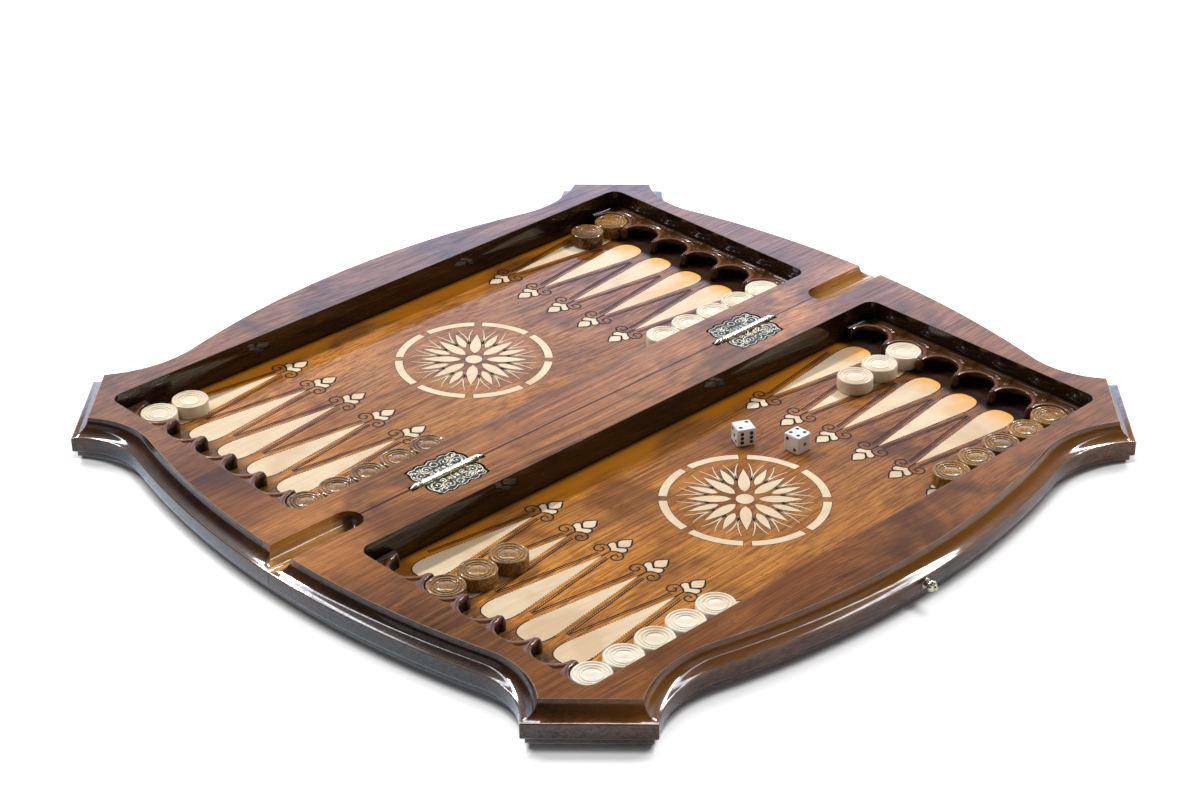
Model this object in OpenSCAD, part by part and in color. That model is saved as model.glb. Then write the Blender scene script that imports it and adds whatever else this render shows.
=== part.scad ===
// Carved folding board for backgammon and chess, open flat with the trays up.
// X runs along the fold, the far leaf lies on +Y, the near leaf on -Y, and the table is z = 0.

/* [Leaf] */
// Thickness of one leaf
leaf_t = 30; // [29:0.5:36]
// Gap between the two leaves at the fold, and between their rims when shut
fold_gap = 0.3; // [0.2:0.05:0.6]
// Width of the rail between the fold and the tray
spine_w = 33.5; // [31:0.5:42]
// Length of the tray along the fold
tray_len = 510; // [490:1:540]
// Width of the tray across the fold
tray_w = 216; // [208:1:228]
// Depth of the tray floor below the rim
tray_d = 23.5; // [21:0.5:24.5]
// Radius of the tray's corners
tray_r = 9; // [5:0.5:12]
// Width of the rebate that holds the floor panel, all round the tray
rebate_w = 6; // [4:0.5:8]

/* [Serpentine outline of the rim] */
// Rim width at the crown of an end, where it meets the fold
end_crown_w = 38.5; // [36:0.5:44]
// Rim width at the waist of an end
end_waist_w = 13.5; // [12:0.5:17]
// Distance of the end waist from the tray's outer side
end_waist_back = 54.5; // [50:0.5:60]
// Rim width at the crown of a long side
side_crown_w = 42; // [38:0.5:46]
// Rim width at the waist of a long side
side_waist_w = 17; // [14:0.5:19]
// Distance of the side waist from the tray's end
side_waist_back = 66; // [60:0.5:74]
// How far the corner stands out past the tray's end
corner_out = 28; // [26:0.5:32]
// How far the corner starts short of the tray's outer side
corner_back = 13; // [8:0.5:16]
// Length of the straight cut corner, along X and along Y
corner_cut = 45; // [40:0.5:47]

/* [Edge moulding] */
// Radius of the cove under the rim
cove_r = 11; // [9:0.25:12]
// Height of the upright face's lower edge above the table
step_z = 7; // [5:0.25:9]
// Width of the step under the upright face
step_w = 3; // [2:0.25:4]
// Height of the foot under the step
foot_z = 2.5; // [1.5:0.25:4]
// Width that the foot stands back from the step
foot_w = 2; // [1:0.25:3]
// How far the channel at the fold runs in from the crown
channel_in = 56.5; // [45:0.5:70]

/* [Checker racks] */
// Depth of a rack, from the tray's end to the pocket centres
rack_d = 27; // [25:0.25:30]
// Height of the rack's carved top above the floor
rack_h = 11; // [9:0.25:13]
// Depth of the carved ground below the rack's top
rack_carve = 1.2; // [0.8:0.1:2]
// Width of the raised arc round a pocket
rack_arc_w = 2.6; // [2:0.1:4]
// Solid part of a rack beside its first and last pocket
rack_margin = 5.1; // [3:0.1:7]
// Radius of a pocket
pocket_r = 15; // [14.2:0.1:15.5]

/* [Inlays] */
// Thickness of the veneers
veneer_t = 1.2; // [0.8:0.1:1.8]
// Distance from the tray's end to the round base of a point
point_base = 32; // [30:0.5:38]
// Half width of a point at its base
point_r = 11.2; // [9:0.2:13]
// Distance from the tray's end to the tip of a point's tulip
point_reach = 164; // [150:1:176]
// Length of the tulip at the tip of a point
tulip_len = 21; // [17:0.5:24]
// Outside radius of the medallion's ring
medallion_r = 60; // [50:0.5:64]
// Width of the medallion's ring
medallion_ring = 6; // [4:0.25:9]

/* [Checkers and dice] */
// Diameter of a checker
checker_d = 27.2; // [25:0.1:28]
// Height of a checker
checker_h = 10.5; // [9:0.1:12]
// Clear gap between two checkers in a row
checker_gap = 0.4; // [0.3:0.05:0.8]
// Clear gap between the first checker and the back of its pocket
pocket_play = 0.5; // [0.3:0.05:2]
// Edge of a die
die_a = 14; // [12:0.1:16]

/* [Hinges] */
// Distance of each hinge from the middle of the fold
hinge_x = 149; // [120:1:170]
// Thickness of a hinge plate
plate_t = 1.2; // [1:0.1:1.6]
// Depth of a plate's face below the rim
plate_sunk = 0.2; // [0.1:0.05:0.4]
// Length of the knuckled barrel
barrel_len = 44; // [38:0.5:50]
// Radius of the barrel
barrel_r = 2.6; // [2.4:0.1:3]
// Radius of the hinge pin
pin_r = 1.2; // [1:0.05:1.5]
// Reach of a plate from the fold
plate_reach = 19.5; // [17:0.5:23]
// Radius of a screw's head
screw_head_r = 2; // [1.8:0.1:2.4]
// Radius of a screw's shank
screw_r = 1; // [0.8:0.05:1.2]
// Length of a screw
screw_len = 11; // [8:0.5:14]

/* [Clasp] */
// Height of the clasp above the table
clasp_z = 13.5; // [12.5:0.25:14.5]
// Radius of the clasp's flanges
flange_r = 3.7; // [3:0.1:3.9]
// Thickness of the clasp's flanges
flange_t = 1.2; // [1:0.1:1.6]
// Thickness of the hook
hook_t = 1.6; // [1.2:0.1:2]
// Radius of the knob's ball
knob_r = 4.2; // [3.8:0.1:5]
// Length of the clasp's studs in the wood
stud_len = 12; // [10:0.5:16]

/* [Hidden] */
// Fits
eps = 0.01;
run_fit = 0.06;
seat_fit = 0.05;
clear = 0.3;
relief = 0.5;
panel_play = 0.1;
mortise_play = 1.2;

// Places in the leaf, which is drawn as the far one
tray_hx = tray_len / 2;
tray_y0 = spine_w;
tray_y1 = spine_w + tray_w;
tray_my = (tray_y0 + tray_y1) / 2;
floor_z = leaf_t - tray_d;
axis_z = leaf_t + fold_gap / 2;

// Outline of the rim
end_crown = tray_hx + end_crown_w;
end_waist = tray_hx + end_waist_w;
end_waist_y = tray_y1 - end_waist_back;
side_crown = tray_y1 + side_crown_w;
side_waist = tray_y1 + side_waist_w;
side_waist_x = tray_hx - side_waist_back;
end_corner = [tray_hx + corner_out, tray_y1 - corner_back];
side_corner = end_corner + corner_cut * [-1, 1];

// How far the pieces at a join reach inwards and past the waist, and steps per turn of the arcs
join_depth = 60;
join_beyond = 90;
crown_steps = 720;
waist_steps = 180;

// Radius of a waist, from its depth, its place and the corner beyond it
function waist_radius(waist, at, corner_along, corner_height) =
    ((corner_height - waist) ^ 2 + (corner_along - at) ^ 2) / (2 * (corner_height - waist));
// Radius of a crown that runs smoothly into the waists beside it
function crown_radius(crown, waist, at, waist_r) =
    (at ^ 2 + (crown - waist) ^ 2) / (2 * (crown - waist)) - waist_r;
end_waist_r = waist_radius(end_waist, end_waist_y, end_corner.y, end_corner.x);
end_crown_r = crown_radius(end_crown, end_waist, end_waist_y, end_waist_r);
side_waist_r = waist_radius(side_waist, side_waist_x, side_corner.x, side_corner.y);
side_crown_r = crown_radius(side_crown, side_waist, side_waist_x, side_waist_r);
// Angle at the crown's centre of the line where crown meets waist
end_sweep = asin(end_waist_y / (end_crown_r + end_waist_r));
side_sweep = asin(side_waist_x / (side_crown_r + side_waist_r));

// How far the cuts run past the corner, in degrees, and past the moulding
past_corner = 30;
past_edge = 4;

// Racks and points
pockets = 6;
pitch = (tray_w - 2 * rack_margin) / pockets;
pocket_x = tray_hx - rack_d;
function pocket_y(i) = tray_y0 + rack_margin + (i + 0.5) * pitch;
cusp_r = pitch / 2 - pocket_r;
base_x = tray_hx - point_base - point_r;
tip_x = tray_hx - point_reach;
neck_x = tip_x + tulip_len + 5;
neck_r = 0.7;
square_a = tray_w / 4;

// Checkers: leaf, end, pocket counted from the fold, how many, colour
STACKS = [
    [1, -1, 5, 2, "cream"], [1, -1, 0, 5, "brown"], [1, 1, 5, 2, "brown"], [1, 1, 0, 5, "cream"],
    [-1, -1, 1, 3, "brown"], [-1, -1, 5, 5, "cream"], [-1, 1, 1, 3, "cream"], [-1, 1, 5, 5, "brown"]];
first_x = pocket_x + pocket_r - checker_d / 2 - pocket_play;
CHECKERS = [for (s = STACKS) for (k = [0 : s[3] - 1])
    [s[1] * (first_x - k * (checker_d + checker_gap)), s[0] * pocket_y(s[2]), s[4], s[0]]];
// Dice: place on the near leaf, turn, and the numbers on top, front and side
DICE = [[56, -87, -26, [2, 6, 3]], [76, -121, 1, [4, 1, 2]]];

// Hinges
knuckles = 5;
knuckle_l = (barrel_len - (knuckles - 1) * clear) / knuckles;
finial_l = 11;
plate_z = leaf_t - plate_sunk - plate_t;
plate_half = barrel_len / 2 - 0.5;
screw_x = 0.55 * plate_half;
screw_y = 0.6 * plate_reach;

// Clasp, measured outwards from the leaf's side
side_face = side_crown + cove_r;
neck_w = hook_t + 2 * clear;
stud_r = 1.5;
neck_stud_r = 2;
hook_reach = 2 * (axis_z - clasp_z);

// Colours
walnut = [0.30, 0.17, 0.10];
floor_wood = [0.50, 0.30, 0.17];
dark_wood = [0.17, 0.09, 0.05];
maple = [0.93, 0.76, 0.52];
cream_wood = [0.93, 0.86, 0.74];
brown_wood = [0.50, 0.33, 0.19];
brass = [0.60, 0.53, 0.38];
ivory = [0.95, 0.95, 0.93];
$fn = 64;

function checker_name(i) = str("checker_", CHECKERS[i][2], "_", i + 1);

// Moulding

// Children moved to where crown meets waist on the end, with +X outwards
module at_end_join() {
    translate([end_crown - end_crown_r, 0] + end_crown_r * [cos(end_sweep), sin(end_sweep)])
        rotate(end_sweep) children();
}

// The same on the long side, where the corner lies on +Y as well
module at_side_join() {
    translate([0, side_crown - side_crown_r] + side_crown_r * [sin(side_sweep), cos(side_sweep)])
        rotate(90 - side_sweep) mirror([0, 1, 0]) children();
}

// Outline beside a join, out from the rim's edge: convex on -Y, hollow on +Y
module join_2d(crown_r, waist_r, out) {
    intersection() {
        translate([-crown_r, 0]) circle(crown_r + out, $fn = crown_steps);
        translate([-join_depth, -side_waist_x - join_depth])
            square([2 * join_depth, side_waist_x + join_depth]);
    }
    difference() {
        translate([-join_depth, 0]) square([join_depth + waist_r, join_beyond]);
        translate([waist_r, 0]) circle(waist_r - out, $fn = waist_steps);
    }
}

// Right half of the leaf's outline, out from the rim's edge
module half_outline(out) {
    far = 2 * tray_len;
    difference() {
        union() {
            square([side_waist_x, end_waist_y + 1]);
            square([tray_hx, tray_y0]);
            at_end_join() join_2d(end_crown_r, end_waist_r, out);
            at_side_join() join_2d(side_crown_r, side_waist_r, out);
        }
        translate((end_corner + side_corner) / 2) rotate(45) translate([out, -far / 2]) square(far);
        translate([-far, -far]) square([far, 2 * far]);
        translate([-1, -far]) square([far, far + fold_gap / 2]);
    }
}

// Section of the cutter that makes the cove
module cove_2d() {
    translate([cove_r, leaf_t]) circle(cove_r);
    translate([0, leaf_t]) square([cove_r + past_edge, 1]);
}

// Cove along one side, drawn from its join
module cove_cut(crown_r, crown_sweep, waist_r, waist_sweep) {
    translate([-crown_r, 0, 0]) mirror([0, 1, 0])
        rotate_extrude(angle = crown_sweep, $fn = crown_steps) translate([crown_r, 0]) cove_2d();
    translate([waist_r, 0, 0]) mirror([1, 0, 0])
        rotate_extrude(angle = waist_sweep, $fn = waist_steps)
            translate([waist_r, 0]) mirror([1, 0]) cove_2d();
}

// Cove along the straight corner
module corner_cove() {
    run = corner_cut * sqrt(2) + 60;
    translate(concat((end_corner + side_corner) / 2, [0]))
        rotate([90, 0, 45]) translate([0, 0, -run / 2]) linear_extrude(run) cove_2d();
}

// Round-ended channel that carries the cove along the fold
module channel() {
    x0 = end_crown - channel_in;
    translate([x0, 0, leaf_t]) rotate([0, 90, 0]) cylinder(r = cove_r, h = channel_in + 2 * cove_r);
    translate([x0, 0, leaf_t]) sphere(cove_r);
}

// Tray's outline with its rounded corners, which may be grown all round
module tray_2d(grow = 0) {
    r = tray_r + grow;
    w = tray_len + 2 * grow;
    h = tray_w + 2 * grow;
    translate([0, tray_my]) {
        square([w - 2 * r, h], center = true);
        square([w, h - 2 * r], center = true);
        for (x = [-1, 1], y = [-1, 1]) translate([x * (w / 2 - r), y * (h / 2 - r)]) circle(r);
    }
}

// Leaf frame, drawn on the far side of the fold

// Right half of the moulded block that the frame is cut from
module half_block() {
    end_turn = end_sweep + asin((end_corner.y - end_waist_y) / end_waist_r) + past_corner;
    side_turn = side_sweep + asin((side_corner.x - side_waist_x) / side_waist_r) + past_corner;
    linear_extrude(foot_z) half_outline(cove_r - step_w - foot_w);
    translate([0, 0, foot_z]) linear_extrude(step_z - foot_z) half_outline(cove_r - step_w);
    difference() {
        translate([0, 0, step_z]) linear_extrude(leaf_t - step_z) half_outline(cove_r);
        at_end_join() cove_cut(end_crown_r, end_sweep + 1, end_waist_r, end_turn);
        at_side_join() cove_cut(side_crown_r, side_sweep + 1, side_waist_r, side_turn);
        corner_cove();
        channel();
    }
}

module hinge_seat() {
    translate([0, 0, plate_z]) linear_extrude(leaf_t) plate_outline(mortise_play);
    translate([0, 0, axis_z]) rotate([0, 90, 0]) cylinder(
        r = barrel_r + relief, h = barrel_len + 2 * (finial_l + clear), center = true);
    for (x = [-1, 1]) translate([x * screw_x, screw_y, leaf_t - screw_len - 1])
        cylinder(r = screw_r + seat_fit, h = screw_len + 1);
}

module leaf_frame() {
    color(walnut) difference() {
        union() {
            half_block();
            mirror([1, 0, 0]) half_block();
        }
        translate([0, 0, -1]) linear_extrude(leaf_t + 2) tray_2d();
        translate([0, 0, -1]) linear_extrude(floor_z + 1) tray_2d(rebate_w);
        for (x = [-1, 1]) translate([x * hinge_x, 0, 0]) hinge_seat();
        translate([0, side_face + 1, clasp_z]) rotate([90, 0, 0])
            cylinder(r = stud_r + seat_fit, h = stud_len + 2);
    }
}

// Floor and its inlays

module point_2d() {
    lean = asin((point_r - neck_r) / (base_x - neck_x));
    translate([base_x, 0]) circle(point_r);
    polygon([
        [neck_x + neck_r * sin(lean), -neck_r * cos(lean)],
        [base_x + point_r * sin(lean), -point_r * cos(lean)],
        [base_x + point_r * sin(lean), point_r * cos(lean)],
        [neck_x + neck_r * sin(lean), neck_r * cos(lean)]]);
}

// Pointed petal that starts at the origin and grows along -X
module petal_2d(length, width) {
    r = (length ^ 2 + width ^ 2) / (4 * width);
    intersection() {
        translate([-length / 2, r - width / 2]) circle(r);
        translate([-length / 2, width / 2 - r]) circle(r);
    }
}

// The three petals of a tulip, whose tip is at tip_x
module tulip_2d() {
    translate([tip_x + tulip_len * 0.62, 0]) petal_2d(tulip_len * 0.62, tulip_len * 0.42);
    for (m = [0, 1]) mirror([0, m])
        translate([tip_x + tulip_len, 0.7]) rotate(-38) petal_2d(tulip_len * 0.62, tulip_len * 0.3);
}

module point_inlays_2d() {
    for (m = [0, 1]) mirror([m, 0]) for (i = [0 : pockets - 1]) translate([0, pocket_y(i)]) {
        point_2d();
        tulip_2d();
    }
}

// Ring round a rosette of long and short petals
module medallion_2d() {
    inner = medallion_r - medallion_ring;
    long = inner * 0.62;
    short = inner * 0.5;
    translate([0, tray_my]) {
        difference() {
            circle(medallion_r);
            circle(inner);
        }
        circle(inner * 0.13);
        for (a = [0 : 45 : 315]) rotate(a) {
            translate([inner * 0.2 + long, 0]) petal_2d(long, inner * 0.17);
            rotate(22.5) translate([inner * 0.42 + short, 0]) petal_2d(short, inner * 0.13);
            rotate(22.5) translate([inner * 0.3, 0]) circle(inner * 0.05);
        }
    }
}

// Chess squares of one leaf that belong to one colour
module squares_2d(dark) {
    for (i = [0 : 7], j = [0 : 3]) if ((i + j) % 2 == dark)
        translate([(i - 4) * square_a, tray_y0 + j * square_a]) square(square_a);
}

module leaf_floor() {
    color(floor_wood) difference() {
        linear_extrude(floor_z) tray_2d(rebate_w - panel_play);
        translate([0, 0, floor_z - veneer_t]) linear_extrude(leaf_t) {
            point_inlays_2d();
            medallion_2d();
        }
        translate([0, 0, -1]) linear_extrude(1 + veneer_t)
            translate([0, tray_my]) square([8 * square_a, 4 * square_a], center = true);
    }
}

module leaf_points() {
    color(maple) translate([0, 0, floor_z - veneer_t]) linear_extrude(veneer_t) point_inlays_2d();
}

module leaf_medallion() {
    color(maple) translate([0, 0, floor_z - veneer_t]) linear_extrude(veneer_t) medallion_2d();
}

module leaf_squares(dark) {
    color(dark == 1 ? dark_wood : maple) linear_extrude(veneer_t) squares_2d(dark);
}

// Carved rack at the right end of the tray
module leaf_rack() {
    color(dark_wood) translate([0, 0, floor_z]) {
        linear_extrude(rack_h - rack_carve) rack_2d();
        linear_extrude(rack_h) intersection() {
            rack_2d();
            union() {
                for (i = [0 : pockets - 1]) translate([pocket_x, pocket_y(i)]) circle(pocket_r + rack_arc_w);
                translate([tray_hx - rack_arc_w, tray_y0]) square([rack_arc_w, tray_w]);
            }
        }
    }
}

module rack_2d() {
    intersection() {
        tray_2d();
        union() {
            difference() {
                translate([pocket_x, tray_y0]) square([rack_d, tray_w]);
                for (i = [0 : pockets - 1]) translate([pocket_x, pocket_y(i)]) circle(pocket_r);
            }
            for (i = [0 : pockets]) translate([pocket_x, pocket_y(i - 0.5)]) circle(cusp_r);
            for (y = [tray_y0, tray_y1 - rack_margin]) translate([pocket_x - cusp_r, y])
                square([cusp_r + eps, rack_margin]);
        }
    }
}

// Hinges

// Outline of a plate with three lobes and two pointed corners, grown for its mortise
module plate_outline(grow) {
    reach = plate_reach;
    w = plate_half;
    polygon([[-w - grow, -eps], [w + grow, -eps], [w * 0.9 + grow, reach * 0.94 + grow],
        [-w * 0.9 - grow, reach * 0.94 + grow]]);
    for (x = [-1, 1]) {
        translate([x * w * 0.74, reach * 0.45]) circle(w * 0.36 + grow);
        translate([x * w * 0.9, reach * 0.92]) rotate(45) square(2.6 + 2 * grow, center = true);
    }
    for (x = [-0.5, 0, 0.5]) translate([x * w, reach * 0.8]) circle(w * 0.22 + grow);
}

// Leaf of a hinge on the far side: the knuckles given, and the plate cut away for the others
module hinge_plate(own) {
    color(brass) difference() {
        union() {
            translate([0, 0, plate_z]) linear_extrude(plate_t) plate_outline(0);
            for (k = own) translate([knuckle_x(k), 0, axis_z]) rotate([0, 90, 0])
                cylinder(r = barrel_r, h = knuckle_l);
        }
        for (k = [0 : knuckles - 1]) if (len(search(k, own)) == 0)
            translate([knuckle_x(k) - clear, -1, plate_z - 1])
                cube([knuckle_l + 2 * clear, 1 + barrel_r + clear, plate_t + 2]);
        translate([-barrel_len, -barrel_len, plate_z - 1]) difference() {
            cube([2 * barrel_len, barrel_len + fold_gap / 2, plate_t + 2]);
            translate([barrel_len, barrel_len, 0]) for (k = own)
                translate([knuckle_x(k), -barrel_r, -1]) cube([knuckle_l, 2 * barrel_r, plate_t + 4]);
        }
        translate([0, 0, axis_z]) rotate([0, 90, 0])
            cylinder(r = pin_r + run_fit, h = 2 * barrel_len, center = true);
        for (x = [-1, 1]) translate([x * screw_x, screw_y, leaf_t]) screw_solid(seat_fit);
    }
}

function knuckle_x(k) = -barrel_len / 2 + k * (knuckle_l + clear);

// Countersunk wood screw with its head's face sunk level with the plate
module screw_solid(grow) {
    translate([0, 0, -plate_sunk - plate_t]) cylinder(r1 = screw_r + grow, r2 = screw_head_r + grow, h = plate_t);
    translate([0, 0, -screw_len]) cylinder(r = screw_r + grow, h = screw_len - plate_sunk - plate_t);
}

module hinge_screws() {
    color(brass) for (h = [-1, 1], x = [-1, 1])
        translate([h * hinge_x + x * screw_x, screw_y, leaf_t]) difference() {
            screw_solid(0);
            translate([-screw_head_r, -0.3, -plate_sunk - 0.4]) cube([2 * screw_head_r, 0.6, 1]);
        }
}

// Pin through the knuckles, with a collar, ball and tip at each end
module hinge_pin() {
    end = barrel_len / 2 + clear;
    color(brass) translate([0, 0, axis_z]) {
        rotate([0, 90, 0]) cylinder(r = pin_r, h = 2 * end, center = true);
        for (m = [0, 1]) mirror([m, 0, 0]) translate([end, 0, 0]) rotate([0, 90, 0]) {
            cylinder(r = barrel_r, h = 1.2);
            translate([0, 0, 1.2]) cylinder(r = barrel_r * 0.6, h = 1);
            translate([0, 0, 2.2]) cylinder(r = barrel_r * 0.9, h = 1);
            translate([0, 0, 5]) sphere(barrel_r * 0.92);
            translate([0, 0, 5]) cylinder(r1 = barrel_r * 0.7, r2 = 0.5, h = finial_l - 5 - clear);
        }
    }
}

// Clasp, standing out from the long side along +Y at the origin

module stud_foot() {
    translate([0, 0, -stud_len]) cylinder(r = stud_r, h = stud_len + eps);
    cylinder(r = flange_r, h = flange_t);
    cylinder(r = neck_stud_r, h = flange_t + neck_w);
}

module clasp_knob() {
    neck = flange_t + neck_w;
    color(brass) translate([0, -side_face, clasp_z]) rotate([90, 0, 0]) {
        stud_foot();
        translate([0, 0, neck]) cylinder(r = knob_r * 0.8, h = 0.8);
        translate([0, 0, neck + knob_r * 0.72]) intersection() {
            sphere(knob_r);
            cylinder(r = knob_r + 1, h = 1.44 * knob_r, center = true);
        }
        translate([0, 0, neck + 1.3 * knob_r]) cylinder(r = knob_r * 0.42, h = 1.6);
    }
}

module clasp_pivot() {
    head = flange_t + neck_w;
    color(brass) translate([0, side_face, clasp_z]) rotate([-90, 0, 0]) {
        stud_foot();
        intersection() {
            translate([0, 0, head]) cylinder(r = flange_r, h = 2.4);
            translate([0, 0, head - 2.4]) sphere(4.8);
        }
    }
}

// Hook at rest along the leaf, with its notch open upwards
module clasp_hook() {
    notch_r = neck_stud_r + clear;
    bar_w = 1.6 * neck_stud_r;
    color(brass) translate([0, side_face + flange_t + clear, clasp_z])
        rotate([90, 0, 0]) translate([0, 0, -hook_t]) linear_extrude(hook_t) difference() {
            union() {
                circle(neck_stud_r + 2);
                translate([0, -bar_w / 2]) square([hook_reach, bar_w]);
                translate([hook_reach, 0]) circle(notch_r + 2);
                translate([hook_reach, -notch_r - 2]) square([7, 2]);
                translate([hook_reach + 7, -notch_r - 1]) circle(1.6);
            }
            circle(neck_stud_r + run_fit);
            translate([hook_reach, 0]) circle(notch_r);
            translate([hook_reach - notch_r, 0]) square([2 * notch_r, notch_r + 3]);
        }
}

// Game pieces

// Turned disc with a rim, two rings and a shallow dome
module checker(i) {
    c = CHECKERS[i];
    r = checker_d / 2;
    h = checker_h;
    color(c[2] == "cream" ? cream_wood : brown_wood)
        translate([c[0], c[1], floor_z]) rotate_extrude() polygon([
            [0, 0], [r - 0.8, 0], [r, 0.8], [r, h - 0.6], [r - 0.6, h], [r - 1.5, h],
            [r - 2.3, h - 0.9], [r - 3.1, h - 0.4], [r - 4, h - 0.4], [r - 4.8, h - 1.1],
            [r - 5.6, h - 0.6], [r - 6.4, h - 0.6], [r - 7.2, h - 1.1], [0, h - 0.5]]);
}

// Pips of one face as [x, y] in steps of the pip spacing
function pips(n) = concat(
    n % 2 == 1 ? [[0, 0]] : [],
    n > 1 ? [[-1, -1], [1, 1]] : [],
    n > 3 ? [[-1, 1], [1, -1]] : [],
    n == 6 ? [[-1, 0], [1, 0]] : []);

module die(i) {
    d = DICE[i];
    step = die_a * 0.26;
    color(ivory) translate([d[0], d[1], floor_z + die_a / 2]) rotate(d[2]) difference() {
        intersection() {
            cube(die_a, center = true);
            sphere(die_a * 0.76);
        }
        die_face([0, 0, 0], d[3][0], step);
        die_face([180, 0, 0], 7 - d[3][0], step);
        die_face([90, 0, 0], d[3][1], step);
        die_face([-90, 0, 0], 7 - d[3][1], step);
        die_face([0, -90, 0], d[3][2], step);
        die_face([0, 90, 0], 7 - d[3][2], step);
    }
}

module die_face(turn, n, step) {
    rotate(turn) for (p = pips(n)) translate([p.x * step, p.y * step, die_a / 2 - 0.4])
        cylinder(r = die_a * 0.085, h = 1);
}

// Nodes: the near leaf is the far one turned half round

module near() {
    rotate([0, 0, 180]) children();
}

module left_end() {
    mirror([1, 0, 0]) children();
}

leaf_frame();  // far_frame
near() leaf_frame();  // near_frame
leaf_floor();  // far_floor_panel
near() leaf_floor();  // near_floor_panel
leaf_rack();  // far_rack_right
left_end() leaf_rack();  // far_rack_left
near() leaf_rack();  // near_rack_left
near() left_end() leaf_rack();  // near_rack_right
leaf_points();  // far_point_inlays
near() leaf_points();  // near_point_inlays
leaf_medallion();  // far_medallion
near() leaf_medallion();  // near_medallion
leaf_squares(1);  // far_dark_squares
near() leaf_squares(1);  // near_dark_squares
leaf_squares(0);  // far_light_squares
near() leaf_squares(0);  // near_light_squares
translate([-hinge_x, 0, 0]) hinge_plate([1, 3]);  // far_hinge_plate_left
translate([hinge_x, 0, 0]) hinge_plate([1, 3]);  // far_hinge_plate_right
translate([-hinge_x, 0, 0]) near() hinge_plate([0, 2, 4]);  // near_hinge_plate_left
translate([hinge_x, 0, 0]) near() hinge_plate([0, 2, 4]);  // near_hinge_plate_right
hinge_screws();  // far_hinge_screws
near() hinge_screws();  // near_hinge_screws
translate([-hinge_x, 0, 0]) hinge_pin();  // hinge_pin_left
translate([hinge_x, 0, 0]) hinge_pin();  // hinge_pin_right
clasp_knob();
clasp_hook();
clasp_pivot();
for (i = [0 : len(CHECKERS) - 1]) checker(i);
die(0);  // die_left
die(1);  // die_right
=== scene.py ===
# %% [markdown]
# # A carved folding board for backgammon and chess
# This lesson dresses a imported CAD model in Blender. The CAD says where each piece is and how it
# moves. The script keeps those places and gives the pieces their fine shapes and finishes.
# All lengths in the lists below are millimetres, as in the CAD, and helpers turn them to metres.

# %% Load the frame
import math
from contextlib import contextmanager
import bpy
import bmesh
from mathutils import Matrix, Vector


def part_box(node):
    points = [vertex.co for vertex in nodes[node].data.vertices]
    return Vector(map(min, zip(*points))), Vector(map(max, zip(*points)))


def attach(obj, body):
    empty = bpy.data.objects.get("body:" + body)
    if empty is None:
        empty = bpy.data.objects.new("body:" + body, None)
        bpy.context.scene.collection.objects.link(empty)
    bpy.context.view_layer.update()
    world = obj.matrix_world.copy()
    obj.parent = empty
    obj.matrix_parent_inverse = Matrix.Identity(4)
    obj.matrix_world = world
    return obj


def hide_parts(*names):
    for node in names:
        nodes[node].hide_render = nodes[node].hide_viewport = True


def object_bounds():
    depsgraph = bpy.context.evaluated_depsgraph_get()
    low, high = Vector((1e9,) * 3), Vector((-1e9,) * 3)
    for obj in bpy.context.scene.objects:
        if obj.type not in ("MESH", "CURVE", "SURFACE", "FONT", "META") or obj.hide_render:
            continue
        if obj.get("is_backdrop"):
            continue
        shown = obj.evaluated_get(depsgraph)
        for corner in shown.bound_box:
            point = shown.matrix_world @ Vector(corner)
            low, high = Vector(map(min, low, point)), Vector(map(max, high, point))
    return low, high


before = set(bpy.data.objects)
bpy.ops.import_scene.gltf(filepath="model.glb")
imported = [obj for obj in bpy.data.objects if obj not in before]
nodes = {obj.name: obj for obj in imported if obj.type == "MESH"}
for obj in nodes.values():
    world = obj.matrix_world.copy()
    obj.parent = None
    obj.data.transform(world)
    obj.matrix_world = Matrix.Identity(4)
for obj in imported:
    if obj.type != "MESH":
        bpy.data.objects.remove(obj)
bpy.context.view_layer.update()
MM = 0.001
SIDES = ("far", "near")

# %% [markdown]
# ## Camera
# The camera could be placed by eye, but a board has long straight edges, so a small error in
# its angle shows at once. Here the place, the roll and the lens were solved from the measured
# outline of the board, and the script only writes down the result.

# %% Camera
def camera_axes(azimuth, elevation, roll):
    az, el, ro = (math.radians(a) for a in (azimuth, elevation, roll))
    back = Vector((math.sin(az) * math.cos(el), -math.cos(az) * math.cos(el), math.sin(el)))
    right = (-back).cross(Vector((0, 0, 1))).normalized()
    up = back.cross(right)
    return math.cos(ro) * right + math.sin(ro) * up, math.cos(ro) * up - math.sin(ro) * right, back


right, up, back = camera_axes(-43.793, 29.472, -0.292)
camera = bpy.data.objects.new("camera", bpy.data.cameras.new("camera"))
camera.data.lens = 77.91
camera.data.sensor_width = 36
camera.data.sensor_fit = "HORIZONTAL"
camera.data.clip_start = 0.05
eye = Vector((-0.00383, -0.00093, 0.030)) + 1.8724 * back
camera.matrix_world = Matrix((
    (right.x, up.x, back.x, eye.x), (right.y, up.y, back.y, eye.y),
    (right.z, up.z, back.z, eye.z), (0, 0, 0, 1)))
bpy.context.collection.objects.link(camera)
bpy.context.scene.camera = camera
print("camera stands at", [round(v, 3) for v in eye])

# %% [markdown]
# ## Mesh helpers
# Most pieces here follow a rule, such as a swept section or a turned profile. A list of points
# and a list of faces is the shortest way to write such a rule down. Each piece is drawn once on
# the far leaf, and the near leaf gets a copy turned half round about the middle of the fold.

# %% Mesh helpers
def new_piece(name, part, finish, near=False):
    """A mesh object from millimetre (points, faces), with its place in its mesh."""
    turn = -1 if near else 1
    mesh = bpy.data.meshes.new(name)
    mesh.from_pydata([(turn * x * MM, turn * y * MM, z * MM) for x, y, z in part[0]], [], part[1])
    mesh.materials.append(finish)
    mesh.update()
    piece = bpy.data.objects.new(name, mesh)
    bpy.context.collection.objects.link(piece)
    return piece


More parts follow.
